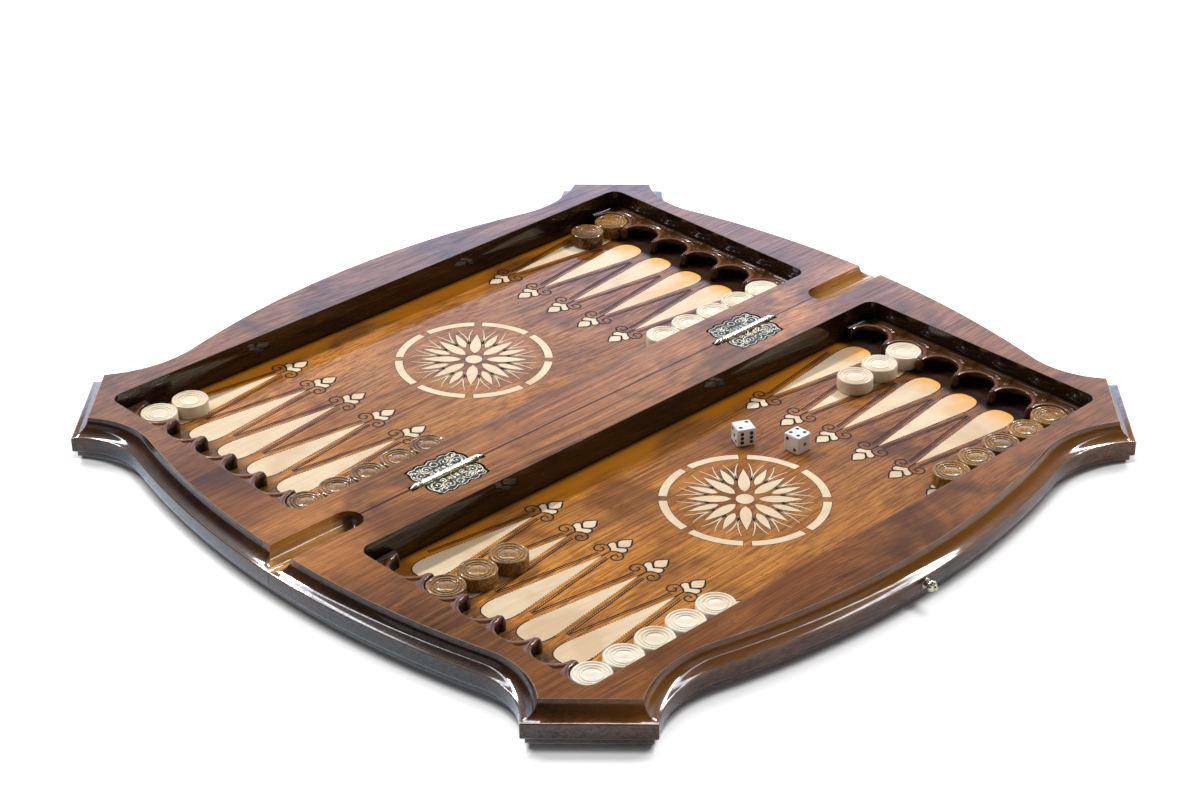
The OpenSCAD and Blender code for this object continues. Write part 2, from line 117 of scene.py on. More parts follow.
def set_mask(piece, name, values):
    """A number from 0 to 1 on each point, for a material to read."""
    layer = piece.data.attributes.new(name, "FLOAT", "POINT")
    layer.data.foreach_set("value", values)


def smooth(piece, degrees=30):
    """Smooth shading that keeps edges sharper than the angle."""
    piece.data.polygons.foreach_set("use_smooth", [True] * len(piece.data.polygons))
    piece.data.set_sharp_from_angle(angle=math.radians(degrees))


def bake(piece):
    """Turns a piece's modifiers into plain mesh."""
    bpy.context.view_layer.update()
    done = bpy.data.meshes.new_from_object(piece.evaluated_get(bpy.context.evaluated_depsgraph_get()))
    old = piece.data
    piece.modifiers.clear()
    piece.data = done
    done.name = old.name
    bpy.data.meshes.remove(old)


def cut(piece, tool):
    """Cuts one object out of another, and removes the tool."""
    m = piece.modifiers.new("cut", "BOOLEAN")
    m.operation = "DIFFERENCE"
    m.solver = "EXACT"
    m.material_mode = "TRANSFER"
    m.object = tool
    bake(piece)
    bpy.data.objects.remove(tool)


@contextmanager
def editing(piece):
    """A piece's mesh opened for edits, and written back after them."""
    bm = bmesh.new()
    bm.from_mesh(piece.data)
    yield bm
    bm.to_mesh(piece.data)
    bm.free()


def face_out(piece, merge=False):
    """Turns a closed mesh's faces outwards, with its double points merged first on request."""
    with editing(piece) as bm:
        if merge:
            bmesh.ops.remove_doubles(bm, verts=bm.verts, dist=1e-6)
        bmesh.ops.recalc_face_normals(bm, faces=bm.faces)


def finish_piece(piece, body, slot_name, *replaced):
    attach(piece, body)
    if replaced:
        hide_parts(*replaced)


def arc(centre, radius, start, stop, steps):
    """Points along an arc, in degrees."""
    out = []
    for i in range(steps + 1):
        a = math.radians(start + (stop - start) * i / steps)
        out.append((centre[0] + radius * math.cos(a), centre[1] + radius * math.sin(a)))
    return out


def spun(loop, degrees, place=(0, 0)):
    """Flat points turned about the origin and then moved."""
    c, s = math.cos(math.radians(degrees)), math.sin(math.radians(degrees))
    return [(c * x - s * y + place[0], s * x + c * y + place[1]) for x, y in loop]


def grown(loop, by):
    """A loop moved outwards by a distance, or inwards by a negative one."""
    out, n = [], len(loop)
    for i in range(n):
        (ax, ay), (bx, by_) = loop[i - 1], loop[(i + 1) % n]
        nx, ny = by_ - ay, ax - bx
        size = math.hypot(nx, ny) or 1.0
        out.append((loop[i][0] + by * nx / size, loop[i][1] + by * ny / size))
    return out


def quads(a, b, count):
    """Faces between two closed rings of points that start at a and b."""
    return [[a + i, a + (i + 1) % count, b + (i + 1) % count, b + i] for i in range(count)]


def lathe(profile, turns, axis="z"):
    """Turned solid from (radius, height) points that start and end on the axis."""
    points, faces, rings = [], [], []
    for r, h in profile:
        if r < 1e-6:
            rings.append([len(points)])
            points.append((0.0, 0.0, h))
        else:
            rings.append(list(range(len(points), len(points) + turns)))
            for i in range(turns):
                a = 2 * math.pi * i / turns
                points.append((r * math.cos(a), r * math.sin(a), h))
    for low, high in zip(rings, rings[1:]):
        for i in range(turns):
            j = (i + 1) % turns
            a = low[i % len(low)], low[j % len(low)], high[j % len(high)], high[i % len(high)]
            face = [v for k, v in enumerate(a) if v not in a[:k]]
            if len(face) > 2:
                faces.append(face)
    if axis == "x":
        points = [(z, x, y) for x, y, z in points]
    return points, faces


def joined(*parts):
    """Several (points, faces) lists as one."""
    points, faces = [], []
    for p, f in parts:
        faces += [[v + len(points) for v in face] for face in f]
        points += p
    return points, faces


def moved(part, offset, turn=0.0):
    """(points, faces) turned about Z in degrees and then moved."""
    loop = spun([q[:2] for q in part[0]], turn, offset)
    return [(x, y, q[2] + offset[2]) for (x, y), q in zip(loop, part[0])], part[1]


def mirrored(part):
    """(points, faces) of the other end, still facing outwards."""
    return [(-x, y, z) for x, y, z in part[0]], [f[::-1] for f in part[1]]


def prism(loop, z0, z1, bevel=0.0):
    """Solid between two heights, with an optional bevelled top."""
    n = len(loop)
    points = [(x, y, z0) for x, y in loop] + [(x, y, z1 - bevel) for x, y in loop]
    points += [(x, y, z1) for x, y in grown(loop, -bevel)]
    caps = [list(range(n))[::-1], list(range(2 * n, 3 * n))]
    return points, caps + quads(0, n, n) + quads(n, 2 * n, n)


def tube(path, radii, flat=1.0, sides=6):
    """Bar along 3-D points with a radius at each, closed at its ends."""
    points, faces, n = [], [], len(path)
    for i, p in enumerate(path):
        d = (Vector(path[min(i + 1, n - 1)]) - Vector(path[max(i - 1, 0)])).normalized()
        side = d.cross(Vector((0, 0, 1))).normalized()
        lift = side.cross(d)
        for k in range(sides):
            t = 2 * math.pi * k / sides
            v = Vector(p) + side * (radii[i] * math.cos(t)) + lift * (radii[i] * flat * math.sin(t))
            points.append(tuple(v))
    for i in range(n - 1):
        faces += quads(i * sides, (i + 1) * sides, sides)
    faces += [list(range(sides))[::-1], [(n - 1) * sides + k for k in range(sides)]]
    return points, faces


class Masked:
    """Points and faces of one piece, with the mask values of each point."""

    def __init__(self):
        self.points, self.faces, self.masks = [], [], []

    def add(self, point, amber=0.0, rubbed=0.0, painted_shade=0.0):
        self.points.append(point)
        self.masks.append((amber, rubbed, painted_shade))

    def add_part(self, part, masks):
        """Adds (points, faces), with a rule for the masks of a point."""
        self.faces += [[v + len(self.points) for v in face] for face in part[1]]
        for point in part[0]:
            self.add(point, *masks(point))

    def piece(self, name, finish, near):
        made = new_piece(name, (self.points, self.faces), finish, near)
        for label, values in zip(("amber", "rubbed", "painted_shade"), zip(*self.masks)):
            set_mask(made, label, list(values))
        return made

# %% [markdown]
# ## Shader helpers
# An effect that several finishes share is built once as a node group with named inputs. A tiny
# helper keeps the node code readable: it adds a node and either links or sets each input.

# %% Shader helpers
def feed(tree, socket, value):
    """Links a socket to another one, or sets its value."""
    if isinstance(value, bpy.types.NodeSocket):
        tree.links.new(value, socket)
    else:
        socket.default_value = value


def node(tree, kind, inputs=None, **props):
    n = tree.nodes.new(kind)
    for key, value in props.items():
        setattr(n, key, value)
    for key, value in (inputs or {}).items():
        feed(tree, n.inputs[key], value)
    return n


def new_tree(kind, name, inputs, outputs):
    """A node group with named inputs (label, kind, value) and outputs (label, kind)."""
    tree = bpy.data.node_groups.new(name, kind)
    for label, socket, value in inputs:
        s = tree.interface.new_socket(label, in_out="INPUT", socket_type="NodeSocket" + socket)
        if value is not None:
            s.default_value = value
    for label, socket in outputs:
        tree.interface.new_socket(label, in_out="OUTPUT", socket_type="NodeSocket" + socket)
    return tree, tree.nodes.new("NodeGroupInput").outputs, tree.nodes.new("NodeGroupOutput").inputs


def ramp(tree, value, low, high, out_low=0.0, out_high=1.0):
    return node(tree, "ShaderNodeMapRange", {"Value": value, "From Min": low, "From Max": high,
                                             "To Min": out_low, "To Max": out_high}).outputs["Result"]


def mix(tree, fac, a, b, mode="MIX"):
    n = node(tree, "ShaderNodeMix", {0: fac}, data_type="RGBA", blend_type=mode)
    feed(tree, n.inputs[6], a)
    feed(tree, n.inputs[7], b)
    return n.outputs[2]


def calc(tree, operation, a, b=0.0):
    return node(tree, "ShaderNodeMath", {0: a, 1: b}, operation=operation).outputs[0]


def noise(tree, vector, scale, detail=3.0, rough=0.55, distort=0.0):
    return node(tree, "ShaderNodeTexNoise", {"Vector": vector, "Scale": scale, "Detail": detail,
                                             "Roughness": rough, "Distortion": distort}).outputs["Fac"]


def new_material(name):
    m = bpy.data.materials.new(name)
    m.use_nodes = True
    m.node_tree.nodes.clear()
    out = m.node_tree.nodes.new("ShaderNodeOutputMaterial")
    shader = m.node_tree.nodes.new("ShaderNodeBsdfPrincipled")
    m.node_tree.links.new(shader.outputs[0], out.inputs[0])
    return m, m.node_tree, shader


def object_coordinates(tree, turn=(0, 0, 0), shift=(0, 0, 0)):
    co = node(tree, "ShaderNodeTexCoord").outputs["Object"]
    return node(tree, "ShaderNodeMapping", {
        "Vector": co, "Location": shift, "Rotation": turn}).outputs[0]


def mask(tree, name):
    return node(tree, "ShaderNodeAttribute", attribute_name=name).outputs["Fac"]


def set_inputs(tree, shader, **values):
    for key, value in values.items():
        feed(tree, shader.inputs[key.replace("_", " ")], value)


def bump(tree, height, strength, distance):
    return node(tree, "ShaderNodeBump", {"Height": height, "Strength": strength,
                                         "Distance": distance}).outputs[0]

# %% [markdown]
# ## Wood grain
# Real boards show several things at once: wide soft bands of light and dark, thin wavy streaks,
# dark hair lines and short flecks along the grain, and a stain that is uneven and has pooled in
# places. An image could show them, but it would repeat and stretch. Noise that is stretched
# along the grain gives all of them at the true scale.

# %% Wood grain group
def build_grain():
    tree, gin, gout = new_tree("ShaderNodeTree", "wood_grain", [
        ("Vector", "Vector", None), ("Dark", "Color", (0.1, 0.05, 0.02, 1)),
        ("Middle", "Color", (0.2, 0.1, 0.05, 1)), ("Light", "Color", (0.3, 0.16, 0.08, 1)),
        ("Streaks", "Float", 0.5), ("Flecks", "Float", 0.4), ("Size", "Float", 1.0)],
        [("Color", "Color"), ("Height", "Float"), ("Gloss", "Float"), ("Shine", "Float")])
    sized = node(tree, "ShaderNodeVectorMath", {0: gin["Vector"], "Scale": gin["Size"]},
                 operation="SCALE").outputs[0]
    sway = calc(tree, "MULTIPLY", calc(tree, "SUBTRACT", noise(tree, sized, 3.0, 1.0), 0.5), 0.05)
    shift = node(tree, "ShaderNodeCombineXYZ", {"Y": sway, "Z": sway}).outputs[0]
    wavy = node(tree, "ShaderNodeVectorMath", {0: sized, 1: shift}, operation="ADD").outputs[0]

    def along(length, width, low, high, detail, rough=0.6, distort=0.0):
        """Marks along the grain; length and width are how many go on a metre."""
        place = node(tree, "ShaderNodeMapping", {
            "Vector": wavy, "Scale": (length, width, width)}).outputs[0]
        return ramp(tree, noise(tree, place, 1.0, detail, rough, distort), low, high)

    def part(value, share):
        return calc(tree, "MULTIPLY", value, share)

    bands = along(1.6, 14, 0.32, 0.68, 4.0, distort=0.4)
    streaks = along(6, 330, 0.35, 0.68, 3.0)
    flecks = along(110, 1100, 0.60, 0.72, 1.0, 0.55)
    lines = along(12, 820, 0.46, 0.60, 2.0)
    stain = ramp(tree, noise(tree, sized, 9.0, 2.0), 0.35, 0.7)
    pool = ramp(tree, noise(tree, sized, 13.0, 3.0, 0.6, 0.5), 0.50, 0.66)
    base = mix(tree, bands, gin["Dark"], gin["Middle"])
    base = mix(tree, part(stain, 0.45), base, gin["Light"])
    base = mix(tree, part(streaks, gin["Streaks"]), base, gin["Light"])
    base = mix(tree, part(pool, 0.66), base, gin["Dark"])
    dark = calc(tree, "MAXIMUM", flecks, part(lines, 0.8))
    base = mix(tree, part(dark, gin["Flecks"]), base, gin["Dark"])
    pores = calc(tree, "MAXIMUM", lines, flecks)
    for label, value in (("Color", base),
                         ("Height", calc(tree, "SUBTRACT", part(streaks, 0.6), part(flecks, 0.4))),
                         ("Gloss", ramp(tree, stain, 0, 1, 0.30, 0.42)),
                         ("Shine", ramp(tree, pores, 0, 1, 1.0, 0.55))):
        tree.links.new(value, gout[label])
    return tree


grain = build_grain()
print("grain group has", len(grain.nodes), "nodes")

# %% [markdown]
# ## The wood finishes
# All the wood is under clear lacquer. In Blender that is the shader's coat: a sharp, thin
# reflection over a softer base. Three masks on the meshes tell the finish where an edge is
# rubbed pale, where an amber tone goes, which is partly a thin stain and partly painted light,
# and where painted shade darkens the colour and dulls the coat: in the carving, the pockets, the
# corners and on faces turned away from the lamps. A few finishes also change with the place on
# the board: the rails are paler beside the fold, the tray floors are darker on the right, and the
# inner end of each channel is darkened with painted shade.

# %% Wood finishes
fold_glow, seam_half, seam_low = (0.018, 0.055), (0.0004, 0.0012), (0.029, 0.0296)
right_drift, channel_end = (-0.02, 0.30), (0.230, 0.243)
seam_dark = (0.006, 0.003, 0.002, 1)


def wood(name, dark, middle, light, streaks=0.5, flecks=0.4, size=1.0, turn=(0, 0, 0),
         shift=(0, 0, 0), coat=0.8, coat_rough=0.07, bumpiness=0.25, amber=None, rubbed=None,
         painted_shade=None, painted_shade_coat=1.0, by_fold=None, by_right=None, painted_end_shade=None):
    """Lacquered wood; the colours from amber on are used where a mask or a place asks for them."""
    m, tree, shader = new_material(name)
    co = object_coordinates(tree, turn, shift)
    g = node(tree, "ShaderNodeGroup", {
        "Vector": co, "Dark": (*dark, 1), "Middle": (*middle, 1), "Light": (*light, 1),
        "Streaks": streaks, "Flecks": flecks, "Size": size}, node_tree=grain).outputs
    colour, gloss = g["Color"], calc(tree, "MULTIPLY", g["Shine"], coat)
    if by_fold or by_right or painted_end_shade:
        place = node(tree, "ShaderNodeTexCoord").outputs["Object"]
        x, y, z = node(tree, "ShaderNodeSeparateXYZ", {0: place}).outputs
    if by_fold:
        across = calc(tree, "ABSOLUTE", y)
        colour = mix(tree, ramp(tree, across, *fold_glow, 1.0, 0.0), colour, (*by_fold, 1), "MULTIPLY")
        seam = calc(tree, "MULTIPLY", ramp(tree, across, *seam_half, 0.9, 0.0), ramp(tree, z, *seam_low))
        colour = mix(tree, seam, colour, seam_dark)
    if by_right:
        drift = calc(tree, "ADD", x, calc(tree, "MULTIPLY", noise(tree, place, 7.0, 3.0), 0.3))
        colour = mix(tree, ramp(tree, drift, *right_drift), colour, (*by_right, 1), "MULTIPLY")
    # Painted shade at the inner end of each channel.
    if painted_end_shade:
        inner = ramp(tree, calc(tree, "ABSOLUTE", x), *channel_end, 0.9, 0.0)
        colour = mix(tree, inner, colour, (*painted_end_shade, 1))
    # An amber tone, partly stain and partly painted light.
    if amber:
        tone = mix(tree, g["Gloss"], (*amber, 1), (*[c * 1.6 for c in amber], 1))
        colour = mix(tree, mask(tree, "amber"), colour, tone)
    # Painted shade: the mask darkens the colour and dulls the coat.
    if painted_shade:
        colour = mix(tree, mask(tree, "painted_shade"), colour, (*painted_shade, 1))
        gloss = calc(tree, "MULTIPLY", gloss, ramp(tree, mask(tree, "painted_shade"), 0.3, 0.9, 1.0, painted_shade_coat))
    if rubbed:
        worn = ramp(tree, noise(tree, co, 60.0, 2.0), 0.2, 0.6, 0.55, 1.0)
        colour = mix(tree, calc(tree, "MULTIPLY", mask(tree, "rubbed"), worn), colour, (*rubbed, 1))
    set_inputs(tree, shader, Base_Color=colour, Roughness=g["Gloss"], Coat_Weight=gloss,
               Coat_Roughness=coat_rough, Coat_IOR=1.55, Specular_IOR_Level=0.08,
               Normal=bump(tree, g["Height"], bumpiness, 0.0002))
    return m


walnut = wood("stained_walnut", (0.028, 0.0075, 0.0014), (0.205, 0.061, 0.0110), (0.47, 0.178, 0.044),
              streaks=0.5, flecks=0.62, coat=1.0, coat_rough=0.05, amber=(0.27, 0.100, 0.009),
              rubbed=(0.60, 0.42, 0.30), painted_shade=(0.010, 0.0035, 0.0015), by_fold=(1.9, 2.1, 2.5))
# The dark colour at the inner end of each channel is painted shade.
channel_wood = wood("amber_channel_wood", (0.28, 0.095, 0.008), (0.62, 0.28, 0.035), (0.88, 0.52, 0.15),
                    streaks=0.6, flecks=0.7, coat=1.0, painted_end_shade=(0.012, 0.005, 0.002))
floor_wood = wood("tray_floor_wood", (0.12, 0.030, 0.003), (0.56, 0.196, 0.025), (0.92, 0.42, 0.085),
                  streaks=0.55, flecks=0.85, amber=(0.50, 0.165, 0.003), painted_shade=(0.008, 0.003, 0.0015),
                  coat=0.85, painted_shade_coat=0.3, by_right=(0.56, 0.49, 0.55), shift=(0.3, 0.7, 0))
rack_wood = wood("carved_rack_wood", (0.020, 0.006, 0.002), (0.095, 0.030, 0.009), (0.22, 0.078, 0.022),
                 flecks=0.6, amber=(0.19, 0.066, 0.005), rubbed=(0.17, 0.062, 0.026),
                 painted_shade=(0.004, 0.002, 0.001), painted_shade_coat=0.35, size=1.6, coat=0.6, coat_rough=0.05)
light_veneer = wood("light_veneer", (0.66, 0.46, 0.28), (0.86, 0.68, 0.45), (0.92, 0.79, 0.58),
                    streaks=0.4, flecks=0.12, amber=(0.72, 0.33, 0.045), coat=0.6, bumpiness=0.15)
burnt = wood("burnt_line", (0.006, 0.003, 0.002), (0.014, 0.006, 0.003), (0.035, 0.013, 0.006), coat=0.0)
dark_veneer = wood("dark_veneer", (0.016, 0.006, 0.003), (0.045, 0.016, 0.008), (0.09, 0.035, 0.016))
cream = wood("cream_checker_wood", (0.74, 0.55, 0.34), (0.96, 0.86, 0.69), (0.98, 0.93, 0.81),
             streaks=0.5, flecks=0.22, size=1.3, coat=0.6, coat_rough=0.10, bumpiness=0.15)
brown = wood("brown_checker_wood", (0.045, 0.014, 0.0020), (0.27, 0.105, 0.012), (0.72, 0.38, 0.090),
             streaks=0.7, flecks=0.9, size=1.8, turn=(0, math.pi / 2, 0.4), coat=0.7, coat_rough=0.04)
print("wood finishes", [m.name for m in bpy.data.materials if m.use_nodes and "wood" in m.name])

# %% [markdown]
# ## Metal and ivory
# The hinges are cast brass with a dark film left in the hollows and bright metal on the worn
# ridges. A mask on the mesh says how high a point lies, and the finish mixes the two by it.

# %% Metal and ivory finishes
def metal(name, bright, dull, rough, dark_film):
    m, tree, shader = new_material(name)
    co = object_coordinates(tree)
    cloud = ramp(tree, noise(tree, co, 260.0, 3.0), 0.35, 0.65)
    colour = mix(tree, calc(tree, "MULTIPLY", cloud, 0.5), (*bright, 1), (*dull, 1))
    hollow = calc(tree, "MULTIPLY", ramp(tree, mask(tree, "hollow"), 0.15, 0.75), dark_film)
    colour = mix(tree, hollow, colour, (0.018, 0.014, 0.010, 1))
    gloss = ramp(tree, cloud, 0, 1, rough, rough + 0.14)
    set_inputs(tree, shader, Base_Color=colour, Roughness=gloss, Metallic=1.0,
               Normal=bump(tree, noise(tree, co, 900.0, 3.0), 0.25, 0.0001))
    return m


old_brass = metal("aged_brass", (0.88, 0.79, 0.58), (0.58, 0.50, 0.35), 0.24, 0.96)
pale_brass = metal("pale_brass", (0.80, 0.72, 0.52), (0.55, 0.47, 0.30), 0.18, 0.8)


def plastic(name, colour, rough):
    m, tree, shader = new_material(name)
    co = object_coordinates(tree)
    cloud = ramp(tree, noise(tree, co, 150.0, 2.0), 0.3, 0.7)
    set_inputs(tree, shader, Base_Color=mix(tree, cloud, (*colour, 1), (*[c * 0.96 for c in colour], 1)),
               Roughness=ramp(tree, cloud, 0, 1, rough, rough + 0.05), Coat_Weight=0.3,
               Normal=bump(tree, noise(tree, co, 700.0, 2.0), 0.05, 0.0001))
    return m


die_white = plastic("die_white", (0.88, 0.88, 0.86), 0.18)
pip_black = plastic("pip_black", (0.012, 0.012, 0.014), 0.3)

# %% [markdown]
# ## Sizes
# The board's own sizes come first, under the names that a joiner would use. The leaf's outline
# has three kinds of line: a convex crown, a hollow waist that runs smoothly out of it, and a
# straight cut corner. Radii follow from where the crown and the waist meet.

# %% Sizes
leaf_t, gap, spine_w, tray_len, tray_w, floor_z = 30.0, 0.3, 33.5, 510.0, 216.0, 6.5
edge_r, tray_corner, play, rack_margin = 11.0, 9.0, 0.02, 5.1
tray_hx, tray_y1, tray_my = tray_len / 2, spine_w + tray_w, spine_w + tray_w / 2
end_crown, end_waist, end_waist_y = tray_hx + 38.5, tray_hx + 13.5, tray_y1 - 54.5
side_crown, side_waist, side_waist_x = tray_y1 + 42.0, tray_y1 + 17.0, tray_hx - 66.0
end_corner = Vector((tray_hx + 28.0, tray_y1 - 13.0))
side_corner = end_corner + Vector((-45.0, 45.0))
pockets, pocket_r, rack_d, rack_h = 6, 15.0, 27.0, 11.0
pitch, pocket_x = (tray_w - 2 * rack_margin) / pockets, tray_hx - rack_d


def waist_radius(waist, at, along, height):
    return ((height - waist) ** 2 + (along - at) ** 2) / (2 * (height - waist))


def crown_radius(crown, waist, at, waist_r):
    return (at ** 2 + (crown - waist) ** 2) / (2 * (crown - waist)) - waist_r


end_r = waist_radius(end_waist, end_waist_y, end_corner.y, end_corner.x)
end_big = crown_radius(end_crown, end_waist, end_waist_y, end_r)
side_r = waist_radius(side_waist, side_waist_x, side_corner.x, side_corner.y)
side_big = crown_radius(side_crown, side_waist, side_waist_x, side_r)
end_sweep = math.degrees(math.asin(end_waist_y / (end_big + end_r)))
side_sweep = math.degrees(math.asin(side_waist_x / (side_big + side_r)))
print("crown and waist radii", [round(v, 1) for v in (end_big, end_r, side_big, side_r)])

# %% [markdown]
# ## Outline of a leaf
# The moulding is the same section all the way round. Sweeping a section along a curve can
# twist it, and a plain inset fails where the corner is sharp. So each height of the moulding
# gets its own outline, worked out exactly at its distance from the rim, and quads join them.

# %% Outline of a leaf
def mitre(out, centre, radius, sign):
    """Where a waist meets the straight cut corner, at a distance out from the rim."""
    n, t = Vector((1, 1)).normalized(), Vector((-1, 1)).normalized()
    d = end_corner.dot(n) + out - centre.dot(n)
    return centre + d * n + sign * math.sqrt((radius - out) ** 2 - d * d) * t


def bearing(point, centre):
    return math.degrees(math.atan2(point.y - centre.y, point.x - centre.x))


def outline(out):
    """Closed loop round a leaf, from the fold on the right round to the fold on the left."""
    crown_e, waist_e = (end_crown - end_big, 0.0), Vector((end_waist + end_r, end_waist_y))
    crown_s, waist_s = (0.0, side_crown - side_big), Vector((side_waist_x, side_waist + side_r))
    m1 = mitre(out, waist_e, end_r, 1)
    m2 = mitre(out, waist_s, side_r, -1)
    start = math.degrees(math.asin(gap / 2 / (end_big + out)))
    half = arc(crown_e, end_big + out, start, end_sweep, 18)
    half += arc(waist_e, end_r - out, 180 + end_sweep, bearing(m1, waist_e) % 360, 16)[1:]
    half += arc(waist_s, side_r - out, bearing(m2, waist_s) % 360, 270 - side_sweep, 20)
    half += arc(crown_s, side_big + out, 90 - side_sweep, 90, 20)[1:]
    return half + [(-x, y) for x, y in half[-2::-1]]


def rounded(grow, steps=8):
    """Loop of the tray with its rounded corners, grown all round."""
    r = tray_corner + grow
    hx, hy = tray_hx + grow - r, tray_w / 2 + grow - r
    loop = []
    for k, (sx, sy) in enumerate(((1, 1), (-1, 1), (-1, -1), (1, -1))):
        loop += arc((sx * hx, tray_my + sy * hy), r, 90 * k, 90 * k + 90, steps)
    return loop


def in_corners(x, y, keep=tray_corner - 0.05):
    """A place in the tray, drawn in where it is outside the rounded corners."""
    dx, dy = abs(x) - (tray_hx - tray_corner), abs(y - tray_my) - (tray_w / 2 - tray_corner)
    far = math.hypot(dx, dy)
    if min(dx, dy) > 0 and far > keep:
        x = math.copysign(tray_hx - tray_corner + dx * keep / far, x)
        y = tray_my + math.copysign(tray_w / 2 - tray_corner + dy * keep / far, y - tray_my)
    return x, y


loop_size, ring_size = len(outline(0)), len(rounded(0))
print("outline of", loop_size, "points")

# %% [markdown]
# ## Moulded frame
# Each frame is a deep wooden ring: a moulded outside, a flat rim, and a straight tray wall with
# a ledge below for the floor panel. It is made as stacked loops. The half-round channel at each
# end of the fold and the beds of the hinges are cut afterwards with the Boolean modifier, as a
# router would cut them. The masks mark the rubbed edges, an amber tone and painted shade. The
# amber is painted light on the moulding of the long outer side and on the middle of the tray wall.
# The painted shade darkens the moulding, the upright faces and the foot of the tray wall, and the
# end walls most of all; the moulding is lighter on the long side away from the fold. The beds of
# the hinges take the dark burnt finish, as painted shade in the gap round each plate.

# %% Section of the edge
def edge_section(steps=12):
    """(out, z, rubbed, amber, painted shade) from the foot up to the rim."""
    rows = [(5.0, 0.0, 0, 0, 0.9), (5.7, 0.3, 0, 0, 0.9), (6.0, 1.0, 0, 0, 0.9), (6.0, 2.5, 0, 0, 0.9),
            (7.6, 2.5, 0, 0, 0.9), (8.0, 2.9, 0.2, 0, 0.8), (8.0, 7.0, 0, 0, 0.9), (8.6, 7.02, 0, 0, 0.9)]
    rows += [(x, z, 0.0, 0, 0.85) for x, z in arc((8.6, 9.42), 2.4, -75, 0, 5)]
    rows += [(11.0, 17.4, 0.0, 0, 0.9)]
    rows += [(x, z, 0.15, 0.4, 0.8) for x, z in arc((9.9, 17.92), 1.1, 10, 84, 5)]
    for i in range(steps + 1):
        a = math.radians(83.0 - 81.0 * i / steps)
        rows.append((edge_r - edge_r * math.cos(a), leaf_t - edge_r * math.sin(a), 0.0,
                     0.9 * math.sin(math.pi * (i + 1) / (steps + 3)), 0.75 + 0.2 * i / steps))
    return rows + [(0.0, leaf_t - 0.36, 0.2, 0, 0.5), (-0.30, leaf_t, 0.8, 0, 0),
                   (-0.6, leaf_t, 0.0, 0, 0)]


# The tray wall, as (grown by, z, rubbed, amber, painted shade) from the underside up to the rim
tray_wall = [(6.0, 0.0, 0, 0, 0.9), (6.0, floor_z, 0, 0, 0.9), (0.0, floor_z, 0, 0.2, 0.93),
             (0.0, 9.0, 0, 1.0, 0.05), (0.0, 20.0, 0, 0.75, 0.0), (0.0, leaf_t - 2.0, 0.0, 0.3, 0.3),
             (0.0, leaf_t - 0.4, 0.0, 0.1, 0.75), (0.35, leaf_t, 0.3, 0, 0.5), (0.9, leaf_t, 0, 0, 0)]
print("section of", len(edge_section()), "rows")

# %% Moulded block
front_from, front_over, end_zone, end_wall_shade = 225, 50, 12, 0.97


def fill_ring(bm, outer, inner):
    """Flat faces between two closed loops of vertices."""
    edges = [bm.edges.get((loop[i], loop[(i + 1) % len(loop)]))
             for loop in (outer, inner) for i in range(len(loop))]
    bmesh.ops.triangle_fill(bm, edges=edges, use_beauty=True, use_dissolve=False)


def frame_block(name, near):
    block, section = Masked(), edge_section()
    for out, z, rubbed, amber, dark in section:
        for x, y in outline(out):
            # On the long outer side the amber paints light, and the painted shade is lifted.
            front = min(1.0, max(0.0, (y - front_from) / front_over))
            shade_lifted = (0.75 if amber > 0.1 else 0.45) * front
            block.add((x, y, z), amber * front, rubbed, dark * (1 - shade_lifted))
    first = len(block.points)
    for grow, z, rubbed, amber, dark in tray_wall:
        for x, y in rounded(grow):
            # Painted shade on the end walls behind the racks.
            end_wall = abs(x) >= tray_hx - end_zone and grow <= 0.5
            block.add((x, y, z), amber, rubbed, max(dark, end_wall_shade) if end_wall else dark)
    for k in range(len(section) - 1):
        block.faces += quads(k * loop_size, (k + 1) * loop_size, loop_size)
    for k in range(len(tray_wall) - 1):
        ring = first + k * ring_size
        block.faces += [f[::-1] for f in quads(ring, ring + ring_size, ring_size)]
    piece = block.piece(name, walnut, near)
    top, last = first - loop_size, len(block.points) - ring_size
    with editing(piece) as bm:
        bm.verts.ensure_lookup_table()
        fill_ring(bm, bm.verts[:loop_size], bm.verts[first:first + ring_size])
        fill_ring(bm, bm.verts[top:first], bm.verts[last:])
        bmesh.ops.recalc_face_normals(bm, faces=bm.faces)
    return piece

# %% [markdown]
# ## Hinge outline
# A hinge plate has three lobes at its outer edge, a wide lobe on each side and two pointed
# corners. Looking out from its middle, the outline is wherever the farthest of those shapes
# ends. That gives one clean loop, also when it is grown to make the bed in the wood.

# %% Hinge outline
hinge_x, plate_half, plate_reach, barrel_len, barrel_r = 149.0, 21.5, 19.5, 44.0, 2.6
axis_z = leaf_t + gap / 2


def plate_loop(grow, count=96):
    cx, cy = 0.0, 8.0
    w, reach = plate_half, plate_reach
    circles = [(s * w * 0.74, reach * 0.45, w * 0.36) for s in (-1, 1)]
    circles += [(s * w, reach * 0.8, w * 0.22) for s in (-0.5, 0, 0.5)]
    loop = []
    for i in range(count):
        a = 2 * math.pi * i / count
        dx, dy = math.cos(a), math.sin(a)
        best = 0.0
        for x, y, r in circles:
            t = (x - cx) * dx + (y - cy) * dy
            off = (x - cx) * dy - (y - cy) * dx
            if abs(off) < r + grow:
                best = max(best, t + math.sqrt((r + grow) ** 2 - off * off))
        body = [(w + grow - cx) / abs(dx) if abs(dx) > 1e-6 else 99.0]
        if dy > 1e-6:
            body.append((reach * 0.94 + grow - cy) / dy)
        best = max(best, min(body))
        for s in (-1, 1):
            x, y = s * w * 0.9 - cx, reach * 0.92 - cy
            t, off = x * dx + y * dy, abs(x * dy - y * dx)
            if off < 1.84 + grow:
                best = max(best, t + 1.84 + grow - off)
        if dy < -1e-6:
            best = min(best, cy / -dy)
        loop.append((cx + best * dx, cy + best * dy))
    return loop


